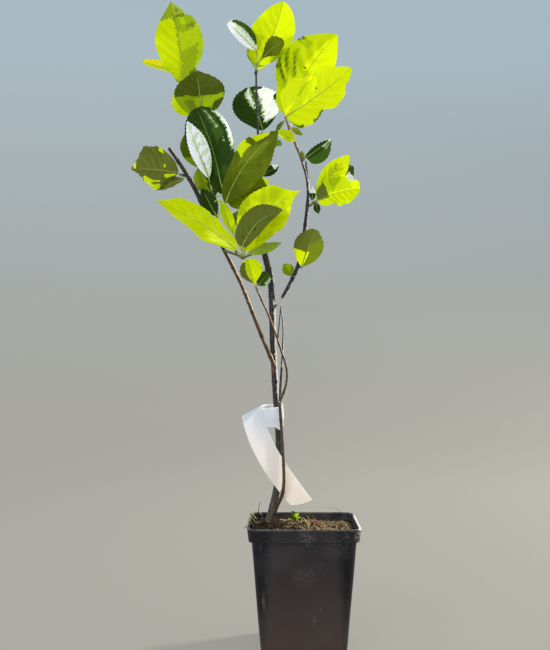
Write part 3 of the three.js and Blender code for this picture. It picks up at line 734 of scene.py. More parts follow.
def filmFinish():
    film = Finish("whiteFilm", {"Roughness": 0.38, "Specular IOR Level": 0.5})
    across, along = film.acrossAlong("film")
    # painted light: the film is bluish at the top, as lit by the sky, and warm cream lower down
    tint = film.blend(film.height().band(0.19, 0.14), "#e4e8ee", "#fff3e2")
    tint = film.blend(film.noise(70, 2).band(0.4, 0.8) * 0.2, tint, "#d6d5d2")
    # a darker bluish line across the upper end is painted shade standing for a fold that the shape itself does not
    # make, and the white edges are painted highlights where they catch the light
    foldShade = (along - (1 - across) * 0.07).band(0.003, -0.003)
    tint = film.blend(foldShade * 0.9, tint, "#bcc9da")
    film.feed(Base_Color=film.blend((across - 0.5).size().band(0.44, 0.48), tint, "#ffffff"))
    film.relief(film.noise(45, 2) + film.noise(1400, 2) * 0.05, 0.0006)
    film.letLightThrough(0.34, "#f8f6f0")
    return film


def direction(heading, lean):
    turn, away = math.radians(heading), math.radians(lean)
    return Vector((math.cos(turn) * math.cos(away), math.sin(away), math.sin(turn) * math.cos(away)))


def buildTag(look):
    bm = bmesh.new()
    along, across = direction(look["heading"], 0), direction(look["heading"] + 90, 0)
    uv = bm.loops.layers.uv.new("film")
    made = bmesh.ops.create_grid(bm, x_segments=22, y_segments=72, size=0.5)
    where = {corner: (corner.co.x, corner.co.y + 0.5) for corner in made["verts"]}
    for corner, (side, share) in where.items():
        # the free end is cut in a slight arc
        reach = share * (look["long"] + ease(share, 0.6, 1) * (4.5 * side + 1.6 - 6.4 * side * side))
        spot = Vector(look["top"]) + along * reach
        spot += across * (side * look["wide"] - look["sweep"] * math.sin(math.pi * share ** 0.8))
        spot.y += look["sag"] * math.sin(math.pi / 2 * share) + 0.5 * (side * side - 0.25) * math.sin(math.pi * share)
        corner.co = spot * mm
    # the loop: one lap from its fold, the lower edge curled in and drawn down at the front
    ring = Path([(x, y, 0, 1) for x, y in [*look["loop"], look["loop"][0]]], 0.7)
    made = bmesh.ops.create_grid(bm, x_segments=22, y_segments=len(ring.places) - 1, size=0.5)
    tilt = Matrix.Rotation(math.radians(look["tilt"]), 3, "Y")
    centre = Vector(look["centre"])
    for corner in made["verts"]:
        side, step = corner.co.x, round((corner.co.y + 0.5) * (len(ring.places) - 1))
        where[corner] = (side, 0.5)
        flat = centre + (ring.places[step] / mm - centre) * (1 - 0.14 * ease(-side, 0.1, 0.5))
        front = math.exp(-((flat.x + 19.5) / 3) ** 2) * ease(-flat.y, -6, -2)
        # the front of the lap hangs lower than its back
        drop = 2.4 * ease(7 - flat.y, 0, 4) * ease(side, -0.4, 0.5)
        rise = side * look["wide"] - 3.6 * front * ease(-side, 0.2, 0.5) - drop
        turned = tilt @ Vector((flat.x + look["pivot"], flat.y, rise))
        corner.co = (turned + Vector((-look["pivot"], 0, look["height"]))) * mm
    for face in bm.faces:
        for loop in face.loops:
            side, share = where[loop.vert]
            loop[uv].uv = (side + 0.5, share)
    bmesh.ops.recalc_face_normals(bm, faces=bm.faces[:])
    piece = addPiece("loopTag", bm, [filmFinish()], "tag_film", ["loop_tag"])
    film = piece.modifiers.new("film", "SOLIDIFY")
    film.thickness = look["thick"] * mm
    film.offset = 0


buildTag(tag)
print("tag ready")

# Leaves. Each has its place along its stem, its stalk and blade as (length, heading, lean) with heading in the
# viewer's plane (0 right, 90 up) and lean away from the viewer, its width and its tone. Across a blade -1 is its
# right edge and 1 its left one, and along it 0 is its foot and 1 its tip. Zones are patches of another tone, most of
# them painted light and shade: painted shadows of other leaves, painted glow and painted sheen: tone, then patches
# as across from and to, along from and to, and slant if any, the later ones on top. Lobes widen or narrow one side:
# along, side, millimetres, reach. Bites are nibbled out: along, across, millimetres.
leafShape = {
    "tooth": 3.1, "toothDepth": 0.85, "toothFrom": 0.66, "stepsPerTooth": 4, "across": 22, "widest": 0.5,
    "blunt": 0.66, "point": 0.8, "draw": 0.1, "left": 1, "right": 1, "sweep": 0, "wave": 0, "lobes": (), "bites": (),
    "veins": 7, "veinSlope": 0.2, "veinCurve": 0.06, "quilt": 0.38, "groove": 0.3, "fold": 12, "roll": 0, "bow": 1.2,
    "ripple": 0.03, "frill": 0.012, "zones": (), "ragged": 0.02, "wander": 0.03, "stalk": 1.25,
    "view": (0, -0.94, 0.34),
}


def leaf(at, stalk, blade, width, tone, **more):
    return {**leafShape, "at": at, "stalkWay": stalk, "blade": blade, "width": width, "tone": tone, **more}


def sideStem(start, end):
    return [(*start, 1.7), (*end, 1.5)]


masses = {
    "left_low_leaves": ([
        (-54.2, -20.4, 319.2, 1.9), (-57.5, -20.6, 327, 1.7), (-69.8, -15, 346.4, 1.6), (-75.6, -7.8, 373.5, 1.5),
    ], [
        leaf(0.52, (4.7, 112, 12), (27, 116, 4), 13, "dark", roll=10),
        leaf(0.55, (16.5, 60, -14), (38, 27, -3), 31, "olive", roll=10, fold=14, blunt=0.4,
             zones=[("lime", (-1, 1, 0.92, 1))]),
        leaf(0.8, (17, -14, -54), (72, 53, -8), 33, "olive", roll=5, fold=10, sweep=5, point=0.75, left=0.6,
             right=1.12, lobes=[(0.66, 1, 5, 0.17), (0.1, 1, 3, 0.1)],
             zones=[("lime", (0.5, 1, 0.53, 0.68), (0.5, 1, 0.75, 0.9)),
                    ("brightOlive", (-0.3, 0.5, 0.55, 0.8, 0.3))]),
        leaf(0.84, (10, 28, -26), (76, 107, 2), 38, "dark", roll=-8, sweep=-3, widest=0.62, blunt=0.42, point=0.5,
             draw=0,
             zones=[("midDark", (0.02, 0.3, 0.2, 0.75), (-1, -0.3, 0, 0.3), (-0.7, -0.3, 0.55, 0.95, 0.1)),
                    ("dimSheen", (-1, -0.84, 0.44, 0.9)), ("paleSheen", (-1, -0.88, 0.47, 0.88)),
                    ("glare", (-1, -0.94, 0.5, 0.84)),
                    ("dimSheen", (-0.56, -0.48, 0.68, 0.9, 0.1), (-0.66, -0.6, 0.54, 0.6))], ragged=0.05),
        leaf(0.92, (5, -80, 60), (31, 116, 12), 21, "shadedLime", roll=15, zones=[("deepOlive", (-1, 0, 0, 0.5))]),
        leaf(0.98, (15, 102, -56), (50, 111, -2), 17, "glare", roll=-15, fold=8, left=0.75, right=1.1,
             zones=[("paleSheen", (-0.9, 0.3, 0, 0.95)),
                    ("glare", (-0.8, 0.2, 0.1, 0.16, 0.1), (-0.85, -0.1, 0.22, 0.32, 0.1),
                     (-0.8, 0.3, 0.4, 0.48, 0.1), (-0.7, -0.1, 0.55, 0.66, 0.1), (-0.8, 0.3, 0.72, 0.82, 0.1)),
                    ("dimSheen", (-0.2, 0.1, 0.06, 0.24, 0.1), (-0.95, -0.8, 0.1, 0.3))], ragged=0.06),
    ]),
    "left_middle_leaves": ([
        (-75.7, -7.2, 374.1, 1.5), (-79.7, -4, 395, 1.4), (-84.8, -1.1, 416.2, 1.3),
    ], [
        leaf(0.44, (8, 178, 39), (33, 113, 5), 22, "olive", roll=10, zones=[("shadedLime", (-1, 1, 0, 0.36))]),
        leaf(0.67, (16, 89, 60), (46, 99, 50), 30, "midGreen", fold=14),
    ]),
    "left_top_leaves": ([
        (-85, -1, 416.8, 1.3), (-91.9, 1, 438.3, 1.2), (-99.7, 2, 463, 1),
    ], [
        leaf(0.13, (11, 66, -18), (41, 98, -6), 42, "deepOlive", fold=10, widest=0.55, blunt=0.55, draw=0,
             toothDepth=1.1,
             zones=[("shadedLime", (-1, 1, 0, 0.5, -0.04)), ("greenLime", (-0.96, -0.1, 0.24, 0.45, 0.05)),
                    ("brightOlive", (0.3, 0.7, 0.1, 0.44)), ("greenLime", (0.02, 0.24, 0.3, 0.46)),
                    ("deepOlive", (-1, -0.6, 0.1, 0.3, 0.1)), ("greenLime", (-1, -0.7, 0, 0.12))]),
        leaf(0.34, (6, 110, 27), (29, 126, 11), 19, "deepLime", roll=-20),
        leaf(0.8, (29, 112, 24), (34, 157, 12), 13, "lime", roll=20, point=0.5, draw=0,
             zones=[("amber", (-1, 0.3, 0.5, 1))]),
        leaf(0.89, (12, 90, 58), (36, 91, 46), 26, "shadedLime", fold=14),
        leaf(0.97, (5, 110, 12), (74, 99, 6), 41, "lime", fold=14, sweep=-2.5, point=1.05, widest=0.47,
             zones=[("greenLime", (-1, 0.03, 0, 0.8)), ("shadedLime", (-0.8, 0, 0, 0.36, 0.1)),
                    ("olive", (-1, -0.6, 0, 0.14)), ("shadedLime", (-1, 0, 0.6, 0.785, 0.05)),
                    ("brightOlive", (-0.9, -0.45, 0.63, 0.68)), ("greenLime", (-0.5, -0.2, 0.7, 0.785)),
                    ("greyed", (-1, 1, 0.785, 1, 0.015)), ("greenLime", (0.02, 0.8, 0.8, 0.97)),
                    ("brightOlive", (-0.8, -0.2, 0.8, 0.86, 0.1)), ("deepOlive", (-0.75, -0.05, 0.785, 0.808))],
             bites=[(0.8, -1.05, 2.6)], ragged=0.05),
    ]),
    "left_outer_leaves": (sideStem((-95.6, -7, 384.6), (-103, -2, 388)), [
        leaf(0.5, (5, 150, 20), (39, 176, -10), 38, "greyOlive", roll=4, fold=10, sweep=-1, widest=0.56, blunt=0.55,
             point=0.75, toothDepth=1.4, wave=0.8, left=0.86, right=1.14, draw=0.5,
             lobes=[(0.44, 1, 7, 0.14), (0.8, 1, -2, 0.1)],
             zones=[("brightLime", (0.56, 1, 0.36, 0.74), (0.3, 0.72, 0.12, 0.33, 0.12)),
                    ("greyOlive", (0.66, 0.76, 0.42, 0.72, 0.2)),
                    ("brightLime", (-1, -0.86, 0.36, 0.46), (-0.34, -0.22, 0.28, 0.32), (-1, 0, 0.91, 0.96))],
             bites=[(0.25, 1.05, 2.6)]),
        leaf(0.35, (3, -100, -20), (25, -157, -12), 14, "greyOlive", roll=25, toothDepth=1.3, wave=0.8),
        leaf(0.7, (3, -110, -10), (9, -150, -12), 6, "greyOlive", roll=10, zones=[("glare", (0.2, 1, 0, 0.6))]),
    ]),
    "front_leaves": ([
        (-50.7, -22.4, 316, 1.9), (-48.9, -24, 314.9, 1.8), (-46.5, -26, 315.6, 1.4),
    ], [
        leaf(0.1, (8, 120, -40), (76, 149, -13), 31, "brightLime", roll=22, fold=8, sweep=-4, blunt=0.6, point=0.95,
             draw=0.3, lobes=[(0.3, 1, 3.5, 0.13), (0.62, 1, -4, 0.14), (0.24, -1, -4, 0.12), (0.82, -1, 2.5, 0.12)],
             bites=[(0.42, -1.0, 1.9)],
             zones=[("shadedLime", (-0.62, -0.54, 0.6, 0.615)), ("olive", (-0.5, -0.45, 0.54, 0.55))]),
        leaf(0.3, (20, 111, -20), (31, 110, -5), 10, "lime", roll=20, draw=0.4),
        leaf(0.4, (6, 77, -38), (67, 47, -11), 40, "deepLime", sweep=8, draw=0.75, wave=0.6,
             zones=[("lime", (0, 1, 0.4, 0.75), (-1, 1, 0.75, 0.94)), ("amber", (-1, 1, 0.94, 1))]),
        leaf(0.6, (12, 99, -50), (45, 41, -20), 20, "greyOlive", fold=8, sweep=6.5, draw=0.1, left=1.3, right=0.85,
             widest=0.42, blunt=0.5, ragged=0.05,
             zones=[("speck", (0.02, 0.22, 0.3, 0.325), (-0.34, -0.16, 0.36, 0.39), (0.32, 0.44, 0.15, 0.175),
                     (0, 0.14, 0.2, 0.22))]),
        leaf(0.8, (4, 51, -27), (29, 16, -12), 8, "greyed", roll=40),
    ]),
    "shoot_tip_leaves": ([
        (-37.5, -15, 289.3, 1.5), (-38.6, -15.2, 291.6, 1.4), (-39.2, -15.4, 293.4, 1.2),
    ], [
        leaf(0.5, (3, 120, -41), (22, 104, -19), 19, "lime", roll=5, blunt=0.9, point=0.42, widest=0.6, draw=0,
             zones=[("greyOlive", (0.42, 1, 0.1, 0.92))]),
        leaf(0.4, (3, 60, 27), (15, 52, 16), 12, "midDark", roll=15, point=0.5,
             zones=[("dimSheen", (-1, -0.6, 0.3, 0.8))]),
    ]),
    "leader_tip_leaves": ([
        (-38.8, 5, 460.6, 1.9), (-38.9, 5, 470, 1.7), (-39.1, 5, 479, 1.4),
    ], [
        leaf(0.85, (17, 90, -14), (32.5, 138, -16), 17, "paleSheen", roll=-28, fold=10, draw=0, left=0.5, right=1.15,
             point=0.4,
             zones=[("glare", (-0.4, 1, 0.8, 1), (0.1, 1, 0.1, 1), (-0.3, -0.16, 0.2, 0.7, 0.1)),
                    ("midDark", (-1, -0.6, 0.1, 0.95)), ("dimSheen", (-0.6, -0.52, 0.2, 0.8))], ragged=0.04),
        leaf(0.95, (5, 75, 22), (62, 69, 7), 38, "lime", sweep=-2.5, draw=0, blunt=0.6, point=0.68, widest=0.45,
             zones=[("deepLime", (0.3, 1, 0.05, 0.4))]),
        leaf(0.85, (8, 65, -59), (29, 38, -21), 18, "olive", fold=8, sweep=2.5, widest=0.7, blunt=1.5, point=0.62),
        leaf(0.8, (10, 80, 48), (44, 75, 43), 28, "shadedLime"),
        leaf(0.9, (4, 120, -20), (14, 118, -30), 7, "lime", roll=30, fold=30, zones=[("olive", (0.3, 1, 0, 1))]),
        leaf(0.85, (2, 20, -20), (7, 30, -20), 4.5, "lime", roll=-30, fold=30),
    ]),
    "leader_side_leaf": (sideStem((-37.3, 4, 417.8), (-34.6, 11, 424)), [
        leaf(1, (5, 73, 30), (44, 105, 14), 41, "dark", widest=0.54, blunt=0.55, point=0.6, draw=0, toothDepth=1.2,
             zones=[("midDark", (0.04, 0.8, 0.3, 1, -1), (-0.4, -0.02, 0.3, 0.9)),
                    ("dimSheen", (0.03, 0.64, 0.38, 0.84, -1)), ("paleSheen", (0.03, 0.5, 0.44, 0.72, -1)),
                    ("dimSheen", (-1, -0.2, 0.14, 0.88, 0.05)),
                    ("glare", (0.03, 0.3, 0.52, 0.66, -1), (-1, -0.27, 0.17, 0.87, 0.05)),
                    ("dark", (-1, -0.84, 0.5, 0.68))], ragged=0.06),
    ]),
    "leader_low_leaf": (sideStem((-37.6, 2.8, 383.6), (-35, 5, 386.5)), [
        leaf(1, (1.5, 40, 5), (17, 33, 0), 8, "dark", roll=20, zones=[("glare", (-0.3, 1, 0.7, 1))]),
    ]),
    "far_low_leaf": (sideStem((-36.6, 1.6, 362.3), (-35, 10, 364)), [
        leaf(1, (4, 17, 70), (46, 40, 58), 28, "midGreen", fold=14),
    ]),
    "far_left_leaf": (sideStem((-35.4, 0.7, 347.9), (-39, 9, 349)), [
        leaf(1, (4, 167, 59), (44, 148, 56), 27, "olive", fold=14),
    ]),
    "far_right_leaf": (sideStem((-37.3, 4, 409), (-36.6, 12, 410)), [
        leaf(1, (4, 60, 57), (42, 60, 58), 26, "midGreen", fold=14),
    ]),
    "right_top_leaves": ([
        (-9.8, -3, 421.6, 1.8), (-11.4, -3, 426.5, 1.6), (-13.8, -3, 434, 1.4),
    ], [
        leaf(0.5, (14, 104, 28), (85, 58, 6), 44, "deepLime", fold=10, sweep=4, widest=0.52, blunt=0.5, point=0.85,
             left=1.24, right=0.94, quilt=0.9, bites=[(0.74, 1.0, 1.5)], ragged=0.003, wander=0.01,
             lobes=[(0.2, 1, -6, 0.14)],
             zones=[("lime", (-1, 0.2, 0.5, 1)), ("greenLime", (0.5, 0.96, 0.7, 0.78)),
                    ("olive", (0.88, 1, 0.71, 0.77)),
                    ("greenLime", (0.55, 1, -0.1, 0.04, -0.5), (0.5, 0.9, 0.09, 0.16, -0.5),
                     (0.25, 0.7, 0.23, 0.31, -0.5)),
                    ("shadedLime", (0.6, 1, -0.04, 0.02, -0.5), (0.52, 0.9, 0.1, 0.145, -0.5),
                     (0.28, 0.68, 0.245, 0.29, -0.5)),
                    ("olive", (0.66, 0.96, -0.025, 0.014, -0.5), (0.9, 1, -0.09, -0.05, -0.5)),
                    ("brightOlive", (0.62, 0.84, 0.1, 0.137, -0.5), (0.36, 0.6, 0.252, 0.284, -0.5)),
                    ("olive", (0.1, 0.2, 0.52, 0.54), (0.88, 0.98, 0.585, 0.605))]),
        leaf(1, (3, 90, -60), (66, 35, -11), 46, "mildLime", fold=8, sweep=-2, widest=0.46, blunt=0.5, point=0.72,
             wave=0.6,
             lobes=[(0.08, -1, 8, 0.06), (0.2, -1, 2, 0.08), (0.44, -1, -8.5, 0.09), (0.65, -1, -2.5, 0.12),
                    (0.82, -1, -8, 0.06), (0.93, -1, -5, 0.05), (0.07, 1, 11, 0.09), (0.25, 1, 4, 0.12),
                    (0.5, 1, -4, 0.12), (0.85, 1, -3, 0.08)],
             # blaze paints the part of this leaf that the leaf behind it shades brighter, to even out that shadow; the
             # olive patches are painted shade
             zones=[("lime", (0.03, 1, -3, 0.3, -0.48)), ("mildLime", (0, 1, 0.585, 1)),
                    ("blaze", (0.16, 1, -3, -0.03, -0.667)),
                    ("olive", (-1, -0.8, 0, 0.14), (-1, -0.86, 0.26, 0.42), (0.3, 0.34, 0.5, 0.52))]),
        leaf(0.2, (12, -66, -27), (18, 158, -22), 12, "lime", roll=10, widest=0.4),
        leaf(0.25, (16, 72, 56), (44, 62, 48), 28, "midGreen", fold=14),
        leaf(0.9, (4, -150, -50), (13, -123, -18), 5, "olive", roll=30),
        leaf(0.4, (3, -20, -40), (12, -38, -20), 4.5, "brightOlive", roll=20),
    ]),
    "right_small_leaf": (sideStem((-0.2, -5, 397.2), (1.4, -5.4, 400.4)), [
        leaf(1, (1.5, 10, -5), (27, 36, -9), 19, "midDark", roll=20, draw=0.3, left=0.34, right=1.2, toothDepth=1,
             widest=0.38, blunt=0.4, point=1, ragged=0.04,
             zones=[("dark", (-0.3, 1, 0, 0.8)), ("dimSheen", (-0.5, 0.1, 0.6, 0.9, 0.1)),
                    ("midDark", (-0.4, -0.2, 0.6, 0.9, 0.1)), ("paleSheen", (-0.5, 1, 0.87, 1)),
                    ("glare", (-0.1, 0.4, 0.88, 0.97))]),
        leaf(0.3, (1, 120, -20), (7, 96, -12), 4, "brightOlive", roll=10),
    ]),
    "right_middle_leaves": (sideStem((3.4, -6, 358.6), (10.6, -8.6, 363.6)), [
        leaf(1, (3, 45, 5), (47, 56, 7), 23, "lime", roll=-8, sweep=2, quilt=0.8, left=0.78,
             zones=[("deepLime", (-0.5, 0.6, 0.3, 0.75)),
                    ("shadedLime", (0, 0.4, 0.42, 0.45, -0.2), (0, 0.4, 0.52, 0.55, -0.2),
                     (0, 0.4, 0.61, 0.64, -0.2))]),
        leaf(1, (3, 20, -50), (36, 14, -16), 30, "lime", roll=-5, fold=14, sweep=2, widest=0.52, blunt=0.34,
             point=0.42, draw=0, wave=0.8, toothDepth=1.1,
             lobes=[(0.8, 1, -7, 0.09), (0.8, -1, 2.5, 0.14), (0.35, -1, -2.5, 0.12)],
             zones=[("greyOlive", (-0.15, 1, 0, 0.27, 0.02)), ("deepLime", (0.1, 0.9, 0.36, 0.8))]),
        leaf(0.9, (7, 35, 50), (49, 46, 24), 25, "midDark", roll=40, zones=[("glare", (-1, -0.1, 0.3, 0.86))]),
        leaf(0.8, (8, 35, 60), (40, 38, 54), 26, "midGreen", fold=14),
        leaf(0.5, (3, 84, -20), (11.5, 86, -9), 5, "glare", roll=10, zones=[("dark", (-1, 1, 0, 0.55))]),
        leaf(0.85, (1, -20, 0), (9.5, -78, -7), 5.5, "dark", roll=20),
    ]),
    "right_low_leaf": (sideStem((-3.9, -3.8, 311.6), (-1.6, -7.4, 308.6)), [
        leaf(1, (1.5, 60, -30), (32.5, 70, -12), 24.5, "greyOlive", widest=0.55, blunt=0.6, point=0.55, wander=0.01,
             ragged=0.01,
             zones=[("brightOlive", (-1, -0.02, 0, 0.58, 0.3)), ("lime", (0.1, 1, 0, 0.38), (-0.16, 0.03, 0, 0.4))]),
    ]),
    "right_lowest_leaf": (sideStem((-7.9, -2.6, 301.3), (-9.2, -6.2, 301.8)), [
        leaf(1, (0.6, 130, -20), (11.5, 119, -8), 10, "shadedLime"),
    ]),
}
# the bark of each mass's stem; the rest have the dark one
twigBarks = {
    "front_leaves": "oliveTwig", "shoot_tip_leaves": "oliveTwig", "left_low_leaves": "oliveTwig",
    "right_top_leaves": "pinkTwig", "right_small_leaf": "pinkTwig", "right_middle_leaves": "oliveTwig",
}
# which masses are joined into one piece
sprays = {
    "leftSpray": ["left_low_leaves", "left_middle_leaves", "left_top_leaves", "left_outer_leaves"],
    "frontSpray": ["front_leaves", "shoot_tip_leaves"],
    "leaderSpray": ["leader_tip_leaves", "leader_side_leaf", "leader_low_leaf", "far_low_leaf", "far_left_leaf",
                    "far_right_leaf"],
    "rightSpray": ["right_top_leaves", "right_small_leaf", "right_middle_leaves", "right_low_leaf",
                   "right_lowest_leaf"],
}
# flesh, veins, share of the light that passes through. Most tones are painted light: the limes are painted glow of
# the sun shining through the leaf, blaze a stronger painted glow that evens out a shadow, shadedLime and the olives
# painted shade where other leaves shadow a leaf, and the pale greyish tones up to white painted sheen where the
# glossy leaf reflects the sun; midGreen, dark and midDark are the leaves' own greens, amber a yellow tinge and speck
# small dark spots
tones = {
    "lime": ("#cbe000", "#a3b600", 0.45), "brightLime": ("#d8ec00", "#acc000", 0.45),
    "mildLime": ("#b9cc00", "#92a400", 0.4), "deepLime": ("#b0c600", "#8ea200", 0.45),
    "blaze": ("#f4ff08", "#d0dc00", 0.45), "amber": ("#e6dc00", "#dcb400", 0.4),
    "shadedLime": ("#7f9803", "#647a04", 0.4), "midGreen": ("#557f08", "#78a028", 0.35),
    "brightOlive": ("#687810", "#8c9a38", 0.35), "olive": ("#546400", "#7c8a28", 0.35),
    "deepOlive": ("#43500a", "#66741f", 0.3), "speck": ("#1c1a10", "#1c1a10", 0),
    "greyOlive": ("#5f6822", "#848c44", 0.3), "greyed": ("#8aa02c", "#6d8420", 0.35),
    "midDark": ("#34520c", "#56742a", 0.2), "dark": ("#203a04", "#3a5a14", 0.12),
    "greenLime": ("#96b004", "#7a9204", 0.42), "dimSheen": ("#9db58a", "#6d8a5a", 0.15),
    "paleSheen": ("#dcebc4", "#aac48c", 0.2), "glare": ("#ffffff", "#c8dcb4", 0.2),
}


def bladeFinish(name, flesh, vein, through):
    blade = Finish(name + "Blade", {"Specular IOR Level": 0.08})
    across, along = blade.acrossAlong("blade")
    side = (across * 2 - 1).size()
    # side veins leave the midrib and curve towards the tip
    count = (along - side * leafShape["veinSlope"] - side * side * leafShape["veinCurve"]) * leafShape["veins"]
    gap = (count - count.maths("FLOOR", count) - 0.5).size()
    veins = gap.band(0.075, 0.012) * side.band(1.0, 0.75)
    rib = side.band(0.05, 0.0)
    net = blade.cells(780, feature="DISTANCE_TO_EDGE").band(0.09, 0.0)
    mottle = blade.noise(85, 4)
    flecks = blade.noise(330, 2).band(0.71, 0.75)
    deep = tuple(c * 0.78 for c in fromHex(flesh)[:3]) + (1,)
    tint = blade.blend(mottle.band(0.42, 0.72) * 0.55, flesh, deep)
    tint = blade.blend(net * 0.16 + veins * 0.6 + rib * 0.7, tint, vein)
    tint = blade.blend(flecks * 0.35, tint, "#6a5518")
    blade.feed(Base_Color=tint)
    blade.feed(Roughness=0.4 + mottle * 0.16)
    blade.relief(veins * -0.8 + net * -0.25 + mottle * 0.3, 0.00022)
    blade.letLightThrough(through, flesh)
    return blade


def growBlade(bm, uv, look, base, axis, side, phase, toneNames):
    # a grid reshaped to the toothed outline, folded along its midrib and quilted between its veins
    length, width = look["blade"][0], look["width"]
    teeth = max(4, round(length / look["tooth"]))
    steps = teeth * look["stepsPerTooth"]
    widest = math.log(0.5) / math.log(look["widest"])
    fold = math.radians(look["fold"])

    def midrib(share):
        arch = math.sin(math.pi * share)
        return base + axis * (length * share) * mm + side * (look["sweep"] * arch * mm)

    def halfAt(share, x):
        if share <= 0 or share >= 1:
            return 0
        swell = math.sin(math.pi * share ** widest) ** (look["blunt"] * (1 - share) + look["point"] * share)
        half = width / 2 * (1 - look["draw"] * ease(share, 0.72, 0.97)) * look["left" if x > 0 else "right"]
        half += look["wave"] * math.sin(share * 17 + phase + 2 * (x > 0))
        half += sum(change * math.exp(-((share - spot) / reach) ** 2)
                    for spot, facing, change, reach in look["lobes"] if facing * x > 0)
        return swell * max(half, 0)

    made = bmesh.ops.create_grid(bm, x_segments=look["across"], y_segments=steps, size=0.5)
    where = {}
    frames = []
    for step in range(steps + 1):
        share = step / steps
        along = (midrib(min(share + 0.02, 1)) - midrib(max(share - 0.02, 0))).normalized()
        over = squareTo(along, side)
        frames.append((midrib(share), over, along.cross(over), along))
    for corner in made["verts"]:
        x = round(corner.co.x * look["across"]) / look["across"] * 2
        step = round((corner.co.y + 0.5) * steps)
        share = step / steps
        where[corner] = (x, share)
        place, over, out, along = frames[step]
        half = halfAt(share, x)
        saw = (step % look["stepsPerTooth"]) / (look["stepsPerTooth"] - 1)
        edge = max(abs(x) - look["toothFrom"], 0) / (1 - look["toothFrom"])
        tooth = look["toothDepth"] * (saw - 0.35) * edge * min(half / 2.5, 1) * ease(share, 0.1, 0.3)
        wide = x * half * math.cos(fold) + math.copysign(tooth, x)
        swell = half / (width / 2)
        ripple = look["ripple"] * width * math.sin(share * 9 + phase) * x * x * swell
        frill = look["frill"] * width * math.sin(share * 26 + phase * 2 + (x > 0) * 2) * x ** 4 * swell
        count = (share - abs(x) * look["veinSlope"] - x * x * look["veinCurve"]) * look["veins"]
        puff = 1 - 2 * abs(count - math.floor(count) - 0.5)
        quilt = -look["quilt"] * puff * swell * (1 - abs(x) ** 3) * (abs(x) > 0.02)
        groove = -look["groove"] * math.exp(-(x * half / 0.9) ** 2) * swell
        rise = abs(x) * half * math.sin(fold) + ripple + frill + quilt + groove
        rise -= look["bow"] * share * share
        corner.co = place + (over * wide + out * rise + along * tooth * 0.5) * mm
    faces = list({face for corner in made["verts"] for face in corner.link_faces})
    bmesh.ops.triangulate(bm, faces=faces, quad_method="ALTERNATE")
    gone = []
    for face in {face for corner in made["verts"] for face in corner.link_faces}:
        x = sum(where[corner][0] for corner in face.verts) / 3
        share = sum(where[corner][1] for corner in face.verts) / 3
        tone = look["tone"]
        # the edges of a patch wander, and fray where the leaf is ragged
        drift = noise.noise_vector(Vector((x * 2.4, share * 7, phase))) * look["wander"]
        drift += noise.noise_vector(Vector((x * 9, share * 34, phase))) * look["ragged"]
        u, v = x + drift.x * 2, share + drift.y * 0.8
        for name, *patches in look["zones"]:
            for left, right, low, high, *slant in patches:
                # a patch that ends on the leaf's edge takes in all beyond it
                within = left - (left == -1) <= u <= right + (right == 1)
                if within and low - (low == 0) <= v + sum(slant) * u <= high + (high == 1):
                    tone = name
        face.material_index = toneNames.index(tone)
        for loop in face.loops:
            u, v = where[loop.vert]
            loop[uv].uv = (0.5 + 0.5 * u, v)
        for atShare, atX, radius in look["bites"]:
            apart = math.hypot((x - atX) * halfAt(share, x), (share - atShare) * length)
            if apart < radius * (1 + 0.3 * noise.noise(Vector((x * 9, share * 40, 0)))):
                gone.append(face)
    bmesh.ops.delete(bm, geom=gone, context="FACES")
    ends = [corner for corner, (x, share) in where.items() if corner.is_valid and share in (0, 1)]
    bmesh.ops.remove_doubles(bm, verts=ends, dist=1e-6)
    # the way of the stalk under the midrib
    shares = [step / 6 for step in range(7)]
    under = [-0.25 - look["bow"] * share ** 2 for share in shares]
    return [midrib(share) + frames[round(share * steps)][2] * low * mm for share, low in zip(shares, under)]


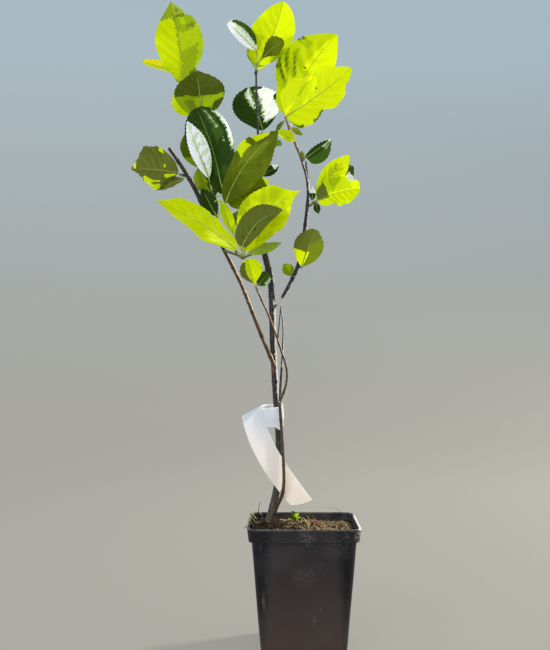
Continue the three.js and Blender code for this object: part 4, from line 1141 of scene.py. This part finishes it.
def growFoliage():
    toneNames = list(tones)
    bladeFinishes = [bladeFinish(name, *look) for name, look in tones.items()]
    stalkFinish = barkFinish("leafStalk", "#7c8a2c", "#b3bf58", "#c9cf86", 0.1, 0.4)
    budFinish = barkFinish("budScale", "#3c2018", "#7a4632", "#a8785a", 0.2, 0.35)
    stalks, twigs = bmesh.new(), bmesh.new()
    twigTones = ["budScale", "oliveTwig", "darkTwig", "pinkTwig"]
    for spray, members in sprays.items():
        blades = bmesh.new()
        uv = blades.loops.layers.uv.new("blade")
        for name in members:
            guide, leaves = masses[name]
            dice = random.Random(list(masses).index(name) + 11)
            stem = Path(guide, 0.5, roundTip=True)
            start = 2 * metres(guide[0]) - stem.places[2]
            root = [stop(start, guide[0][3]), *guide]
            bark = twigTones.index(twigBarks.get(name, "darkTwig"))
            joints = [look["at"] * stem.run[-1] / mm for look in leaves]
            growLimb(twigs, Path(root, 0.5, roundTip=True), 10, bark, joints, 0.3, 0.9)
            for look in leaves:
                place, along = stem.at(look["at"])
                stalkLength, heading, lean = look["stalkWay"]
                base = place + direction(heading, lean) * stalkLength * mm
                length, heading, lean = look["blade"]
                axis = direction(heading, lean)
                face = squareTo(axis, Vector(look["view"]))
                face.rotate(Quaternion(axis, math.radians(look["roll"])))
                side = face.cross(axis)
                phase = dice.uniform(0, math.tau)
                spine = growBlade(blades, uv, look, base, axis, side, phase, toneNames)
                # the stalk leaves the stem along it and bends over into the midrib
                thick = look["stalk"] * (0.55 + 0.45 * min(length / 50, 1))
                lead = place.lerp(base, 0.35) + along * 0.12 * stalkLength * mm
                way = [stop(place, thick * 1.35), stop(lead, thick)]
                way += [stop(spot, max(thick * (0.85 - 0.75 * (k / 6) ** 0.7), 0.12)) for k, spot in enumerate(spine)]
                growLimb(stalks, Path(way, 1.3, roundTip=True), 6, 0)
                # the bud in the stalk's angle
                tip = place + (along + direction(*look["stalkWay"][1:])).normalized() * 2.6 * mm
                middle = place.lerp(tip, 0.5)
                growLimb(twigs, Path([stop(place, 0.9), stop(middle, 1.25), stop(tip, 0.2)], 0.4), 7, 0)
        bmesh.ops.remove_doubles(blades, verts=blades.verts[:], dist=1e-6)
        addPiece(spray, blades, bladeFinishes, "leaf", members)
    everything = [name for members in sprays.values() for name in members]
    addPiece("leafStalks", stalks, [stalkFinish], "leaf", everything)
    roughen(twigs, 0.06, 1200)
    addPiece("leafTwigs", twigs, [budFinish] + [woodFinishes[name] for name in twigTones[1:]], "leaf", everything)


growFoliage()
print("foliage ready")

# A seedling beside the trunk
sprout = {
    "foot": (-5.6, 12, 94),
    # length, heading, lean, width, tone
    "leaves": [
        (5, 70, -25, 2.6, "bright"), (4.5, 25, -10, 2.4, "bright"), (5, 96, 0, 2.6, "bright"),
        (6.5, 140, 15, 3.6, "deep"), (7, 116, 22, 3.8, "deep"), (5.5, 165, -5, 2.8, "deep"),
        (4.5, 85, 30, 2.4, "deep"), (4, 50, 25, 2.2, "bright"),
    ],
    "tones": {"deep": ("seedlingShade", "#274d0a", "#3f6a1c", 0.2), "bright": ("seedling", "#b4d010", "#c8dc50", 0.4)},
    "view": (0, -0.6, 0.8),
}


def buildSprout(look):
    bm = bmesh.new()
    uv = bm.loops.layers.uv.new("blade")
    foot = metres(look["foot"])
    top = foot + Vector((0, -0.001, 0.0065))
    growLimb(bm, Path([stop(foot, 0.9), stop(top, 0.7)], 1), 6, 0)
    for number, (length, heading, lean, width, tone) in enumerate(look["leaves"]):
        base = top - Vector((0, 0, 0.0006)) * (number % 4)
        axis = direction(heading, lean)
        face = squareTo(axis, Vector(look["view"]))
        shape = leaf(0, (0, 0, 0), (length, heading, lean), width, tone, tooth=1.2, toothDepth=0.1, across=6, quilt=0.1)
        growBlade(bm, uv, shape, base, axis, face.cross(axis), heading, list(look["tones"]))
    bmesh.ops.remove_doubles(bm, verts=bm.verts[:], dist=1e-6)
    addPiece("seedling", bm, [bladeFinish(*tone) for tone in look["tones"].values()], "leaf", ["soil"])


buildSprout(sprout)

print("all pieces ready")
